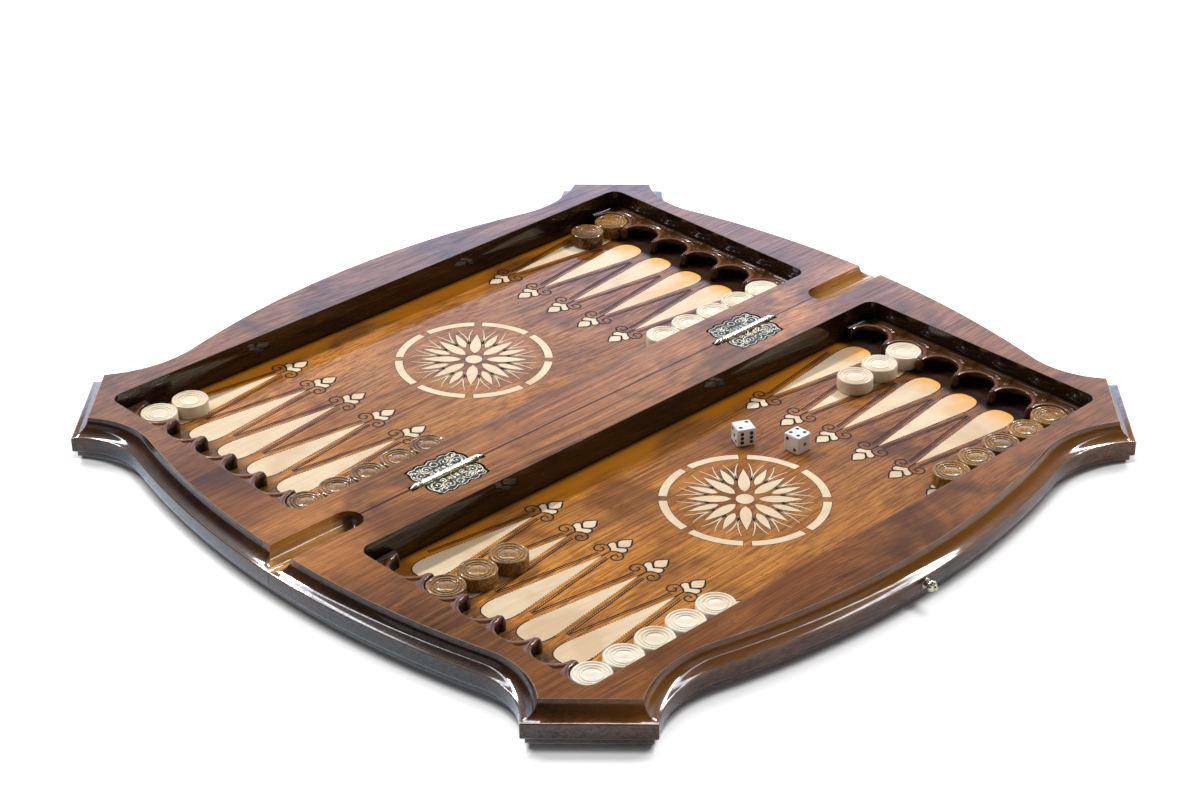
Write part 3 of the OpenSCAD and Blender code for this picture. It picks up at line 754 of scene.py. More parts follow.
print("hinge outline reaches", round(max(y for x, y in plate_loop(0)), 2), "mm")

# %% Cut frames
def channel_tool(steps=12):
    """Half-round trough along the fold with a ball end, on the right."""
    profile = [(0.0, 0.0)]
    for i in range(1, steps + 1):
        a = math.radians(90 * i / steps)
        profile.append((edge_r * math.sin(a), edge_r - edge_r * math.cos(a)))
    return moved(lathe(profile + [(edge_r, 80.0), (0.0, 80.0)], 64, "x"),
                 (end_crown - 56.5 - edge_r, 0, leaf_t))


def hinge_bed_tools():
    bed = prism([(x, y if y > 0.5 else -2.0) for x, y in plate_loop(1.2)], leaf_t - 1.4, leaf_t + 2)
    barrel = lathe([(0, -33.3), (3.1, -33.3), (3.1, 33.3), (0, 33.3)], 32, "x")
    return bed, moved(barrel, (0, 0, axis_z))


def make_frame(side):
    near = side == "near"
    piece = frame_block(side + "_moulded_frame", near)
    channel = channel_tool()
    tools = [(channel, channel_wood), (mirrored(channel), channel_wood)]
    # The beds take the dark burnt finish: painted shade in the gap round each plate and under its barrel.
    tools += [(moved(tool, (s * hinge_x, 0, 0)), burnt) for s in (-1, 1) for tool in hinge_bed_tools()]
    for part, finish in tools:
        tool = new_piece("tool", part, finish, near)
        face_out(tool, merge=True)
        cut(piece, tool)
    # The points of the cut faces that lie on the rim lose their painted shade.
    marks = piece.data.attributes["painted_shade"].data
    for face in piece.data.polygons:
        if piece.data.materials[face.material_index] is not walnut:
            for v in face.vertices:
                if piece.data.vertices[v].co.z > (leaf_t - 0.1) * MM:
                    marks[v].value = 0.0
    smooth(piece, 28)
    finish_piece(piece, side + "_leaf", "walnut", side + "_frame")
    return piece


for side in SIDES:
    made = make_frame(side)
    print(made.name, len(made.data.polygons), "faces")

# %% [markdown]
# ## Tray floor
# The panel itself can stay as the CAD made it. Over it lies one thin sheet, which carries the
# lacquered grain and hides the beds of the inlays. Its amber mask is high along the wall on the
# far side of each tray: painted light, a richer band where that wall hides the mirrored veil. Its
# painted-shade mask darkens the pockets, most in the racks on the right, and a thin line along
# the foot of the long walls.

# %% Tray floor
floor_top = floor_z + 0.05


def floor_sheet(side, columns=171, rows=55):
    points, faces, amber, painted_shade = [], [], [], []
    way = 1 if side == "far" else -1
    for j in range(rows):
        for i in range(columns):
            x, y = in_corners(-tray_hx + play + (tray_len - 2 * play) * i / (columns - 1),
                              spine_w + play + (tray_w - 2 * play) * j / (rows - 1))
            points.append((x, y, floor_top))
            from_fold, from_side = y - spine_w, tray_y1 - y
            swell = 20 + 8 * math.sin(x * 0.035) + 5 * math.sin(x * 0.081 + 1.0)
            pale = from_side if side == "far" else from_fold
            amber.append(max(0.0, min(1.0, (swell - pale) / 12)) * 0.85)
            # Painted shade in the pockets, deeper on the right, and along the foot of the long walls.
            pocket_shade = max(0.0, min(1.0, (abs(x) - pocket_x + 14) / 8)) * (0.93 if x * way > 0 else 0.55)
            painted_shade.append(0.9 if min(abs(from_fold), from_side) < 1 else pocket_shade)
    for j in range(rows - 1):
        for i in range(columns - 1):
            a = j * columns + i
            faces.append([a, a + 1, a + 1 + columns, a + columns])
    piece = new_piece(side + "_tray_floor", (points, faces), floor_wood, side == "near")
    set_mask(piece, "amber", amber)
    set_mask(piece, "painted_shade", painted_shade)
    finish_piece(piece, side + "_leaf", "floor_wood")
    return piece


for side in SIDES:
    sheet = floor_sheet(side)
print("tray floor sheets of", len(sheet.data.polygons), "faces")

# %% [markdown]
# ## One point and its tulip
# On the real board the pale veneers were cut in, and every outline was then burnt in dark. One
# point is drawn here once, flat, with u along it from its round base and v across. Each pale
# shape lies on a slightly larger dark one, and each later shape covers the ones before, so the
# petals overlap like scales. The point's long sides are sawn into small teeth. The burnt lines
# are narrow ribbons, and a band of short slanting strokes runs along each side.

# %% One point
def ribbon(path, width, z, taper=False):
    """Flat strip along a path."""
    points, faces, n = [], [], len(path)
    for i, (x, y) in enumerate(path):
        (ax, ay), (bx, by) = path[max(i - 1, 0)], path[min(i + 1, n - 1)]
        dx, dy = bx - ax, by - ay
        size = math.hypot(dx, dy) or 1.0
        w = width / 2 * (1 - 0.7 * i / (n - 1) if taper else 1.0)
        points += [(x + w * dy / size, y - w * dx / size, z), (x - w * dy / size, y + w * dx / size, z)]
    for i in range(n - 1):
        faces.append([2 * i, 2 * i + 2, 2 * i + 3, 2 * i + 1])
    return points, faces


def flat(loop, z):
    return [(x, y, z) for x, y in loop], [list(range(len(loop)))]


def petal(length, width, start, fullness=0.2, steps=10):
    """Pointed petal along u."""
    side = []
    for i in range(steps + 1):
        t = i / steps
        side.append((start + length * t, width / 2 * math.sin(math.pi * t ** (0.5 + fullness))))
    return (side[:-1] + [(start + length, 0.0)] + [(x, -y) for x, y in side[-2:0:-1]])[::-1]


base_half, base_u, neck_u, tulip_u, tip_u = 12.0, 14.0, 102.0, 110.7, 132.0
tooth_step, tooth_depth, squareness = 2.4, 0.8, 0.78


def point_body(teeth=False):
    """Long wedge whose base is rounded but a little flattened, with sawn sides on request."""
    loop = []
    for i in range(25):
        a = math.radians(90 + 180 * i / 24)
        c, s = abs(math.cos(a)) ** squareness, abs(math.sin(a)) ** squareness
        loop.append((base_u - 15.5 * c, math.copysign(base_half * s, 180 - math.degrees(a))))
    if not teeth:
        return loop + [(neck_u, 0.0)]
    saw = []
    for i in range(1, int((neck_u - base_u) / tooth_step)):
        for u, out in ((base_u + i * tooth_step, 0.0), (base_u + (i + 0.15) * tooth_step, tooth_depth)):
            narrow = min(1.0, (neck_u - u) / 25)
            saw.append((u, base_half * (neck_u - u) / (neck_u - base_u) + out * narrow))
    return loop + [(u, -v) for u, v in saw] + [(neck_u, 0.0)] + saw[::-1]


def tulip_shapes():
    """The pale petals in the order that they are laid: a cup and the bud in it."""
    cup = [(0, 0), (2.2, 2.6), (3.0, 5.0), (3.6, 6.8), (6.0, 7.5), (7.6, 6.9), (8.6, 5.6),
           (8.0, 4.0), (5.6, 1.0)]
    bud = [(6.9, 0), (8.8, 2.4), (10.4, 3.9), (12.2, 4.7), (14.0, 4.1), (16.4, 2.2), (19.2, 0)]
    cup = cup + [(4.9, 0.0)] + [(u, -v) for u, v in cup[:0:-1]]
    bud = bud + [(u, -v) for u, v in bud[-2:0:-1]]
    return [[(u + tulip_u, v) for u, v in loop[::-1]] for loop in (cup, bud)]


def scroll(side):
    """Curl beside the tulip, from its stem round into the eye."""
    path = []
    for i in range(31):
        t = i / 30
        a = math.radians(62 - 470 * t)
        r = 5.3 * (1 - 0.80 * t ** 1.5) + 1.6 * (1 - t) ** 6
        path.append((107.5 + r * math.cos(a), side * (7.5 - r * math.sin(a))))
    return path


def band_line(side):
    """Outer line of the band, from the curl to where the next point's line meets it."""
    return [(u, side * (5.3 + 0.148 * (neck_u - u))) for u in range(103, 20, -9)]


print("a point is", tip_u, "mm long with", len(tulip_shapes()) + 1, "pale shapes")

# %% Layers of a point
layer, outline_w, strokes = 0.03, 1.35, 38


def point_layers():
    """(pale, burnt) parts of one point, each as (points, faces)."""
    pale, dark = [flat(point_body(True), layer)], [flat(grown(point_body(), 1.0), layer * 0.5)]
    for i, shape in enumerate(tulip_shapes()):
        dark.append(flat(grown(shape, outline_w), layer * (1.5 + i)))
        pale.append(flat(shape, layer * (2 + i)))
    stem = [(neck_u - 9, -1.0), (tulip_u + 1, -0.5), (tulip_u + 1, 0.5), (neck_u - 9, 1.0)]
    tip = [(tip_u - 4.5, -0.9), (tip_u, 0.0), (tip_u - 4.5, 0.9)]
    dark += [flat(stem, layer * 0.7), flat(tip, layer * 0.9)]
    for side in (-1, 1):
        line = band_line(side)
        dark += [ribbon(scroll(side), 1.3, layer * 1.2), ribbon(line, 1.0, layer),
                 ribbon([(u, v - side * 1.9) for u, v in line], 0.65, layer)]
        (u0, v0), (u1, v1) = line[0], line[-1]
        for i in range(strokes):
            t = (i + 0.5) / strokes
            u, v = u0 + (u1 - u0) * t, v0 + (v1 - v0) * t - side * 1.7
            stroke = [(u, v), (u + 0.5, v), (u - 0.7, v + side * 1.5), (u - 1.2, v + side * 1.5)]
            dark.append(flat(stroke[::side], layer * 0.8))
    return joined(*pale), joined(*dark)


pale_part, dark_part = point_layers()
print("one point:", len(pale_part[1]), "pale and", len(dark_part[1]), "burnt faces")

# %% [markdown]
# ## Twelve points with Geometry Nodes
# Twenty-four points are the same shape, so they are a pattern, and a node tree is the tool for
# patterns: a line of places, an instance on each, and a second row turned half round. The tree
# has inputs for the count, the pitch and the first place, and it ends in real mesh.

# %% Pattern tree
def build_pattern():
    tree, gin, gout = new_tree("GeometryNodeTree", "two_rows_of_copies", [
        ("Geometry", "Geometry", None), ("Count", "Int", pockets), ("First", "Vector", (0, 0, 0)),
        ("Step", "Vector", (0, pitch * MM, 0)), ("Middle", "Vector", (0, 0, 0)),
        ("Finish", "Material", None)], [("Geometry", "Geometry")])
    line = node(tree, "GeometryNodeMeshLine", {
        "Count": gin["Count"], "Start Location": gin["First"], "Offset": gin["Step"]}).outputs[0]
    row = node(tree, "GeometryNodeInstanceOnPoints", {
        "Points": line, "Instance": gin["Geometry"]}).outputs[0]
    real = node(tree, "GeometryNodeRealizeInstances", {"Geometry": row}).outputs[0]
    away = node(tree, "ShaderNodeVectorMath", {0: gin["Middle"], "Scale": -1.0},
                operation="SCALE").outputs[0]
    home = node(tree, "GeometryNodeTransform", {"Geometry": real, "Translation": away}).outputs[0]
    turned = node(tree, "GeometryNodeTransform", {
        "Geometry": home, "Translation": gin["Middle"], "Rotation": (0, 0, math.pi)}).outputs[0]
    both = tree.nodes.new("GeometryNodeJoinGeometry")
    tree.links.new(real, both.inputs[0])
    tree.links.new(turned, both.inputs[0])
    real = node(tree, "GeometryNodeRealizeInstances", {"Geometry": both.outputs[0]}).outputs[0]
    done = node(tree, "GeometryNodeSetMaterial", {
        "Geometry": real, "Material": gin["Finish"]}).outputs[0]
    tree.links.new(done, gout[0])
    return tree


def run_tree(piece, tree, values):
    """Runs a node tree on a piece and keeps the result as plain mesh."""
    m = piece.modifiers.new("pattern", "NODES")
    m.node_group = tree
    for item in tree.interface.items_tree:
        if item.item_type == "SOCKET" and item.in_out == "INPUT" and item.name in values:
            m[item.identifier] = values[item.name]
    bake(piece)


def pocket_y(i):
    return spine_w + rack_margin + (i + 0.5) * pitch


# %% Points on both leaves
point_tree = build_pattern()
point_base_x, amber_most, amber_depth = 223, 0.9, 16
inlays = (("pale_points", pale_part, light_veneer, "light_veneer"),
          ("burnt_lines", dark_part, burnt, "dark_veneer"))
for side in SIDES:
    turn = 1 if side == "far" else -1
    for name, part, finish, slot_name in inlays:
        points = [(-turn * x, -turn * y, z) for x, y, z in part[0]]
        piece = new_piece(side + "_" + name, (points, part[1]), finish)
        run_tree(piece, point_tree, {
            "Count": pockets, "Finish": finish, "Step": (0, turn * pitch * MM, 0),
            "First": (turn * (tray_hx - 32) * MM, turn * pocket_y(0) * MM, floor_top * MM),
            "Middle": (0, turn * tray_my * MM, 0)})
        from_base = [point_base_x - v.co.x / MM for v in piece.data.vertices]
        set_mask(piece, "amber", [max(0.0, min(amber_most, 0.95 - b / amber_depth)) for b in from_base])
        replaced = [side + "_point_inlays"] if finish is light_veneer else []
        finish_piece(piece, side + "_leaf", slot_name, *replaced)
print("points laid on both leaves")

# %% [markdown]
# ## Medallion
# A pale ring of eight pieces goes round a rosette. The rosette is a plain radial ornament: eight
# long petals, eight short ones and thin fronds between them. An eighth of it is drawn, and one
# more node tree copies that round the centre.

# %% Rosette tree
def build_ring():
    tree, gin, gout = new_tree("GeometryNodeTree", "copies_round_a_centre", [
        ("Geometry", "Geometry", None), ("Count", "Int", 8), ("Centre", "Vector", (0, 0, 0)),
        ("Finish", "Material", None)], [("Geometry", "Geometry")])
    dots = node(tree, "GeometryNodeMeshLine", {"Count": gin["Count"], "Offset": (0, 0, 0)}).outputs[0]
    index = tree.nodes.new("GeometryNodeInputIndex").outputs[0]
    angle = calc(tree, "DIVIDE", calc(tree, "MULTIPLY", index, 2 * math.pi), gin["Count"])
    turn = node(tree, "ShaderNodeCombineXYZ", {"Z": angle}).outputs[0]
    row = node(tree, "GeometryNodeInstanceOnPoints", {
        "Points": dots, "Instance": gin["Geometry"], "Rotation": turn}).outputs[0]
    real = node(tree, "GeometryNodeRealizeInstances", {"Geometry": row}).outputs[0]
    place = node(tree, "GeometryNodeTransform", {
        "Geometry": real, "Translation": gin["Centre"]}).outputs[0]
    done = node(tree, "GeometryNodeSetMaterial", {
        "Geometry": place, "Material": gin["Finish"]}).outputs[0]
    tree.links.new(done, gout[0])
    return tree


def arc_band(r0, r1, a0, a1, z, steps=24):
    outer, inner = arc((0, 0), r1, a0, a1, steps), arc((0, 0), r0, a0, a1, steps)
    n = steps + 1
    return [(x, y, z) for x, y in outer + inner], [[i + n, i, i + 1, i + 1 + n] for i in range(steps)]


def frond(bend, turn, start=25.5, length=22, steps=12):
    """Path of a curved strip that starts away from the centre."""
    way = [i / steps for i in range(steps + 1)]
    return spun([(start + length * t, bend * t * t) for t in way], turn)


def rosette():
    """(eighth of the pale parts, eighth of the burnt lines)."""
    pale, dark = [arc_band(54, 60, 3, 42, layer * 2)], [arc_band(53.5, 60.5, 2.5, 42.5, layer)]
    for shape in (petal(31, 8.6, 9.5), spun(petal(23, 6.2, 20), 22.5)):
        pale.append(flat(shape, layer * 2))
        dark.append(flat(grown(shape, 0.5), layer))
    for turn, bend in ((11.2, 5.5), (11.2, -5.5), (33.7, 5.5), (33.7, -5.5)):
        pale.append(ribbon(frond(bend, turn), 1.7, layer * 2, True))
        dark.append(ribbon(frond(bend, turn), 2.7, layer, True))
    return joined(*pale), joined(*dark)


# %% Medallions
ring_tree = build_ring()
rosette_pale, rosette_dark = rosette()
medallion = (("medallion_pale", rosette_pale, layer * 2, 6.5, light_veneer, "light_veneer"),
             ("medallion_lines", rosette_dark, layer, 7.1, burnt, "dark_veneer"))
for side in SIDES:
    centre = (0, tray_my if side == "far" else -tray_my, floor_top)
    for name, part, height, hub_r, finish, slot_name in medallion:
        piece = new_piece(side + "_" + name, part, finish)
        run_tree(piece, ring_tree, {"Count": 8, "Centre": [v * MM for v in centre], "Finish": finish})
        with editing(piece) as bm:
            hub = arc(centre[:2], hub_r, 0, 352, 45)
            bm.faces.new([bm.verts.new((x * MM, y * MM, (centre[2] + height) * MM)) for x, y in hub])
        set_mask(piece, "amber", [0.0] * len(piece.data.vertices))
        replaced = [side + "_medallion"] if finish is light_veneer else []
        finish_piece(piece, side + "_leaf", slot_name, *replaced)
print("medallions of", len(piece.data.polygons), "burnt faces")

# %% [markdown]
# ## Carved racks
# Behind each round pocket the rack is carved: a raised arc round the pocket, a lower ground and
# a small leaf in each gap. This is a relief, so it can be a grid that is bent round the pocket,
# with a height worked out for each point. The wall of the pocket then comes for free, and the
# rack has no jagged edge anywhere. A round knob stands on each cusp between two pockets.

# %% Rack relief
arc_w, ridge_out, ridge_w, leaf_x, leaf_size = 4.3, 6.2, 0.9, 20.5, (4.6, 2.6)


def relief_height(x, y, far):
    """(height, amber, rubbed) on a rack, from a pocket's middle; far is the distance to it."""
    out, ground = far - pocket_r, rack_h - 1.3
    height, amber, rubbed = ground, 0.75, 0.0
    if out < arc_w:
        bow = math.sqrt(max(0.0, 1 - ((out - 1.8) / 2.5) ** 2))
        height = ground - 0.2 + 1.45 * bow
        amber, rubbed = 0.0, bow ** 3
    ridge = 1 - ((out - ridge_out) / ridge_w) ** 2
    if ridge > 0 and x > 4 and abs(y) < 13:
        height += 0.7 * math.sqrt(ridge)
        rubbed = 0.3 * ridge
    u, v = x - leaf_x, abs(abs(y) - pitch / 2)
    leaf = 1 - (u / leaf_size[0]) ** 2 - (v / leaf_size[1]) ** 2
    if leaf > 0 and out > 3.2:
        height += 0.9 * math.sqrt(leaf) - (0.45 if v < 0.4 else 0.0)
        amber = 0.4
    if x > 24.6:
        height, amber = ground + 0.5, 0.2
    return height, amber, rubbed


def rack_cell(store, i, turns=56, steps=14, rings=5):
    """One pocket's share of a rack: relief, pocket wall and a round cusp on each side."""
    cy, foot = pocket_y(i), 0.06

    def add(x, y, z, amber=0.0, rubbed=0.0, painted_shade=0.0):
        store.add((pocket_x + x, cy + y, floor_z + z), amber, rubbed, painted_shade)

    def join(first, rows, width):
        for k in range(rows):
            for j in range(width - 1):
                a = first + k * width + j
                yield a, a + 1, a + width + 1, a + width

    first = len(store.points)
    for k in range(turns + 1):
        a = math.radians(-90 + 180 * k / turns)
        c, s = math.cos(a), math.sin(a)
        reach = min(rack_d / c if c > 1e-6 else 99, pitch / 2 / abs(s) if abs(s) > 1e-6 else 99)
        # Painted shade down the pocket wall.
        add(pocket_r * c, pocket_r * s, foot, painted_shade=1.0)
        add(pocket_r * c, pocket_r * s, rack_h * 0.6, painted_shade=0.9)
        for j in range(steps + 1):
            r = pocket_r + (reach - pocket_r) * (j / steps) ** 1.3
            height, amber, rubbed = relief_height(r * c, r * s, r)
            add(r * c, r * s, height if j else height - 0.4, amber, rubbed)
    store.faces += join(first, turns, steps + 3)
    for side in (-1, 1):
        first = len(store.points)
        for q in range(13):
            a = math.radians(90 + 180 * q / 12)
            for j in range(rings + 1):
                r = (pitch / 2 - pocket_r) * j / rings
                x, y = r * math.cos(a), side * pitch / 2 + r * math.sin(a)
                add(x, y, rack_h - 0.1 - 2.3 * (j / rings) ** 2, 0.0, 0.8 * (1 - j / rings))
            # Painted shade down the wall under each cusp.
            add(x, y, rack_h - 4.5, painted_shade=0.2)
            add(x, y, foot, painted_shade=0.9)
        store.faces += [(a, d, c, b) for a, b, c, d in join(first, 12, rings + 3)]


def knob_masks(point):
    above = point[2] - floor_z
    # Rubbed towards the top of a knob, and painted shade towards its foot.
    return 0.0, 0.45 * max(0.0, (above - 6) / 5), 0.5 * max(0.0, 1 - above / 5)


def rack(side, end):
    store = Masked()
    for i in range(pockets):
        rack_cell(store, i)
    cusp_r, cusp_z = 3.3, rack_h - 0.3
    dome = [(0.0, 0.06), (cusp_r, 0.06)]
    dome += [(cusp_r * k, cusp_z - 4.6 * k ** 2.4) for k in (1.0, 0.92, 0.8, 0.65, 0.45, 0.25, 0.0)]
    for i in range(pockets - 1):
        place = (pocket_x - 0.7, pocket_y(i) + pitch / 2, floor_z)
        store.add_part(moved(lathe(dome, 18), place), knob_masks)
    for y, s in ((spine_w, 1), (tray_y1, -1)):
        x0, x1, y0, y1 = pocket_x - 2.1, tray_hx - play, y + play * s, y + rack_margin * s
        cheek = [(x0, y0), (x1, y0), (x1, y1), (x0, y1)][::s]
        cheek = prism(cheek, floor_z + 0.06, floor_z + rack_h - 0.2, 0.8)
        # Painted shade on the cheeks.
        store.add_part(cheek, lambda point: (0.1, 0.0, 0.5))
    way = end if side == "far" else -end
    for i, (x, y, z) in enumerate(store.points):
        x, y = in_corners(min(x, tray_hx - play), y)
        store.points[i] = (way * x, y, z)
    if way < 0:
        store.faces = [f[::-1] for f in store.faces]
    # Painted shade makes the racks on the right darker.
    if end > 0:
        store.masks = [(a, r, min(1.0, dark + 0.6)) for a, r, dark in store.masks]
    end_name = "right" if end > 0 else "left"
    piece = store.piece("%s_%s_carved_rack" % (side, end_name), rack_wood, side == "near")
    smooth(piece, 50)
    finish_piece(piece, side + "_leaf", "rack_wood", "%s_rack_%s" % (side, end_name))
    return piece


for side in SIDES:
    for end in (-1, 1):
        made = rack(side, end)
        print(made.name, len(made.data.polygons), "faces")

# %% [markdown]
# ## Checkers
# A checker is turned on a lathe: a rim, a groove, a ring, a groove and a shallow dome. A lathe
# profile needs only a dozen points, but each edge gets a pair of close points, because wood
# that has been sanded and lacquered has no sharp edge. Each checker is a body of its own.

# %% Checkers
def checker_profile():
    r, h = 13.6, 10.5
    return [(0, 0.2), (r - 1.0, 0.2), (r - 0.35, 0.35), (r - 0.08, 0.9), (r, 1.6), (r, h - 1.5),
            (r - 0.10, h - 0.75), (r - 0.4, h - 0.25), (r - 0.9, h - 0.02), (r - 1.5, h),
            (r - 2.0, h - 0.15), (r - 2.4, h - 0.75), (r - 2.9, h - 0.75), (r - 3.3, h - 0.3),
            (r - 3.9, h - 0.22), (r - 4.5, h - 0.35), (r - 4.9, h - 1.0), (r - 5.4, h - 1.0),
            (r - 5.8, h - 0.45), (r - 6.5, h - 0.4), (r - 7.0, h - 0.55), (r - 7.4, h - 1.05),
            (r - 8.4, h - 0.85), (r - 10.4, h - 0.62), (r - 12.2, h - 0.52), (0, h - 0.5)]


for name in sorted(n for n in nodes if n.startswith("checker_")):
    low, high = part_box(name)
    cx, cy = (low[0] + high[0]) / 2 / MM, (low[1] + high[1]) / 2 / MM
    pale = "cream" in name
    turned = moved(lathe(checker_profile(), 56), (cx, cy, low[2] / MM))
    piece = new_piece(name + "_turned", turned, cream if pale else brown)
    smooth(piece, 40)
    finish_piece(piece, name, "cream_wood" if pale else "brown_wood", name)
print("checkers of", len(piece.data.polygons), "faces")

# %% [markdown]
# ## Dice
# A die is a cube that was tumbled until its edges went round. A bevel does that. The pips are
# drilled: small balls are cut out of the faces, and the Boolean carries their black finish over
# to the hollows. The numbers follow the CAD, so that opposite faces add up to seven.

# %% Dice
def pip_places(n):
    places = [(0, 0)] if n % 2 else []
    places += [(-1, -1), (1, 1)] if n > 1 else []
    places += [(-1, 1), (1, -1)] if n > 3 else []
    return places + ([(-1, 0), (1, 0)] if n == 6 else [])


def die(name, top, front, side, turn):
    low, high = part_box(name)
    a, quarter = (high[2] - low[2]) / 2, math.pi / 2
    piece = new_piece(name + "_rounded", ([], []), die_white)
    with editing(piece) as bm:
        bmesh.ops.create_cube(bm, size=2 * a)
        bmesh.ops.bevel(bm, geom=bm.edges[:], offset=a * 0.2, segments=5, profile=0.6, affect="EDGES")
    balls, step, r = [], a * 0.50 / MM, a * 0.24 / MM
    slope = [math.radians(t) for t in range(20, 180, 20)]
    ball = lathe([(0, -r)] + [(r * math.sin(t), -r * math.cos(t)) for t in slope] + [(0, r)], 16)
    for number, axis, angle in (
            (top, "X", 0.0), (7 - top, "X", math.pi), (front, "X", quarter),
            (7 - front, "X", -quarter), (side, "Y", -quarter), (7 - side, "Y", quarter)):
        for u, v in pip_places(number):
            place = Matrix.Rotation(angle, 4, axis) @ Vector((u * step, v * step, a / MM + r * 0.45))
            balls.append(moved(ball, tuple(place)))
    cut(piece, new_piece("pips", joined(*balls), pip_black))
    middle = [(p + q) / 2 for p, q in zip(low, high)]
    place = Matrix.Translation(Vector(middle) + Vector((0, 0, 0.0001)))
    piece.data.transform(place @ Matrix.Rotation(math.radians(turn), 4, "Z"))
    smooth(piece, 40)
    finish_piece(piece, name, "ivory", name)
    return piece


for name, numbers in (("die_left", (2, 6, 3, -26)), ("die_right", (4, 1, 2, 1))):
    made = die(name, *numbers)
print("dice of", len(made.data.polygons), "faces with", [m.name for m in made.data.materials])

# %% [markdown]
# ## Hinges
# Each hinge is two cast plates with scrolls, a barrel of five knuckles and a pin with acorn ends.
# The scrolls stand on the plate as half-round bars. They could be a bump in the finish, but the
# light in the photograph catches each one, so they are real shapes here. A mask marks the
# plate's ground as hollow, where the dark film stays.

# %% Scrolls of a plate
def spiral(cx, cy, r, turns, start, hand=1, steps=22, shrink=0.85):
    path = []
    for i in range(steps + 1):
        t = i / steps
        a = math.radians(start) + hand * 2 * math.pi * turns * t
        q = r * (1 - shrink * t)
        path.append((cx + q * math.cos(a), cy + q * math.sin(a)))
    return path


def plate_scrolls():
    """Scroll lines of the far plate, right half and middle."""
    lines = [spiral(15.6, 8.4, 4.6, 1.35, 250), spiral(8.2, 12.6, 3.9, 1.3, 200, -1),
             spiral(9.0, 5.6, 2.9, 1.2, 60), spiral(19.2, 14.6, 2.2, 1.0, 230, -1),
             spiral(3.6, 7.0, 2.1, 1.1, 300, -1), spiral(13.4, 15.2, 2.2, 1.0, 160, 1)]
    lines += [[(11.0, 9.0), (12.6, 10.2), (14.0, 12.6), (16.5, 13.9)],
              [(5.6, 9.2), (6.6, 7.8), (8.4, 8.8), (10.4, 8.6)],
              [(17.6, 4.2), (19.2, 5.6), (20.6, 8.0), (20.8, 10.6)]]
    return lines + [[(-x, y) for x, y in line] for line in lines] + [
        [(0, 3.4), (0, 5.5), (0, 8.5)], spiral(0, 14.2, 2.6, 0.98, 90, 1, 18, 0.0)]


knuckle_gap = 0.3
knuckle = (barrel_len - 4 * knuckle_gap) / 5


def knuckle_start(k):
    return -barrel_len / 2 + k * (knuckle + knuckle_gap)


def plate_parts(own):
    """(points, faces, hollow) of one plate with its knuckles, drawn on the far side."""
    top = leaf_t - 0.30
    loop = [(x, max(y, gap / 2)) for x, y in plate_loop(0)]
    groups = [(prism(loop, leaf_t - 1.4, top, 0.3), 1.0)]
    border = [(x * 0.955, 8 + (y - 8) * 0.955, top + 0.02) for x, y in plate_loop(0, 72) if y > 3.3]
    split = max(range(len(border)), key=lambda i: math.dist(border[i - 1], border[i]))
    groups.append((tube(border[split:] + border[:split], [0.42] * len(border), 0.7), 0.0))
    bead = lathe([(0, -0.3), (0.75, -0.3), (0.6, 0.2), (0, 0.36)], 8)
    for line in plate_scrolls():
        n = len(line)
        size = [0.5 * (1 - 0.35 * i / n) for i in range(n)]
        groups.append((tube([(x, y, top) for x, y in line], size, 0.75), 0.0))
        groups.append((moved(bead, (*line[-1], top)), 0.0))
    half = [(0, 0.0), (2.2, 0.0), (2.58, 0.3), (2.58, 1.1), (2.25, 1.4), (2.25, 1.7), (2.58, 2.0)]
    profile = half + [(2.5, knuckle / 2)] + [(r, knuckle - h) for r, h in half[::-1]]
    for k in own:
        groups.append((moved(lathe(profile, 28, "x"), (knuckle_start(k), 0, axis_z)), 0.1))
    points, faces = joined(*[g[0] for g in groups])
    return points, faces, [value for part, value in groups for _ in part[0]]


def hinge_plate(side, end, own, others):
    points, faces, hollow = plate_parts(own)
    turn, placed, room = (-1 if side == "near" else 1), [], barrel_r + knuckle_gap
    for x, y, z in points:
        for x0 in map(knuckle_start, others):
            if x0 - knuckle_gap < x < x0 + knuckle + knuckle_gap and y < room and z < leaf_t + 0.2:
                y = room
        placed.append((turn * x + end * hinge_x, turn * y, z))
    name = "%s_hinge_plate_%s" % (side, "right" if end > 0 else "left")
    piece = new_piece(name + "_scrolled", (placed, faces), old_brass)
    set_mask(piece, "hollow", hollow)
    smooth(piece, 45)
    finish_piece(piece, side + "_leaf", "brass", name)
    return piece


for end in (-1, 1):
    made = hinge_plate("far", end, (1, 3), (0, 2, 4))
    made = hinge_plate("near", end, (0, 2, 4), (1, 3))
print("hinge plate of", len(made.data.polygons), "faces")

# %% Pins and screws
def finial():
    """Turned end of a pin, from the collar to the tip."""
    return [(0, 0), (2.5, 0.05), (2.6, 0.3), (2.6, 1.0), (2.3, 1.25), (1.5, 1.5), (1.45, 2.1),
            (2.2, 2.3), (2.35, 2.7), (2.2, 3.1), (1.8, 3.3), (2.2, 3.9), (2.38, 4.8), (2.25, 6.0),
            (1.75, 7.4), (1.15, 8.8), (0.75, 9.8), (0.6, 10.3), (0.35, 10.6), (0, 10.7)]


def screws():
    """Heads with their slots, let into the plates of one leaf."""
    half = prism(arc((0, 0), 1.95, 8, 172, 14), -0.9, 0.0, 0.25)
    base = lathe([(0, -1.3), (1.9, -1.3), (1.9, -0.5), (0, -0.5)], 20)
    head = joined(base, half, moved(half, (0, 0, 0), 180))
    return joined(*[moved(head, (h * hinge_x + s * 11.83, 11.7, leaf_t - 0.14), 30 + 50 * s + 35 * h)
                    for h in (-1, 1) for s in (-1, 1)])


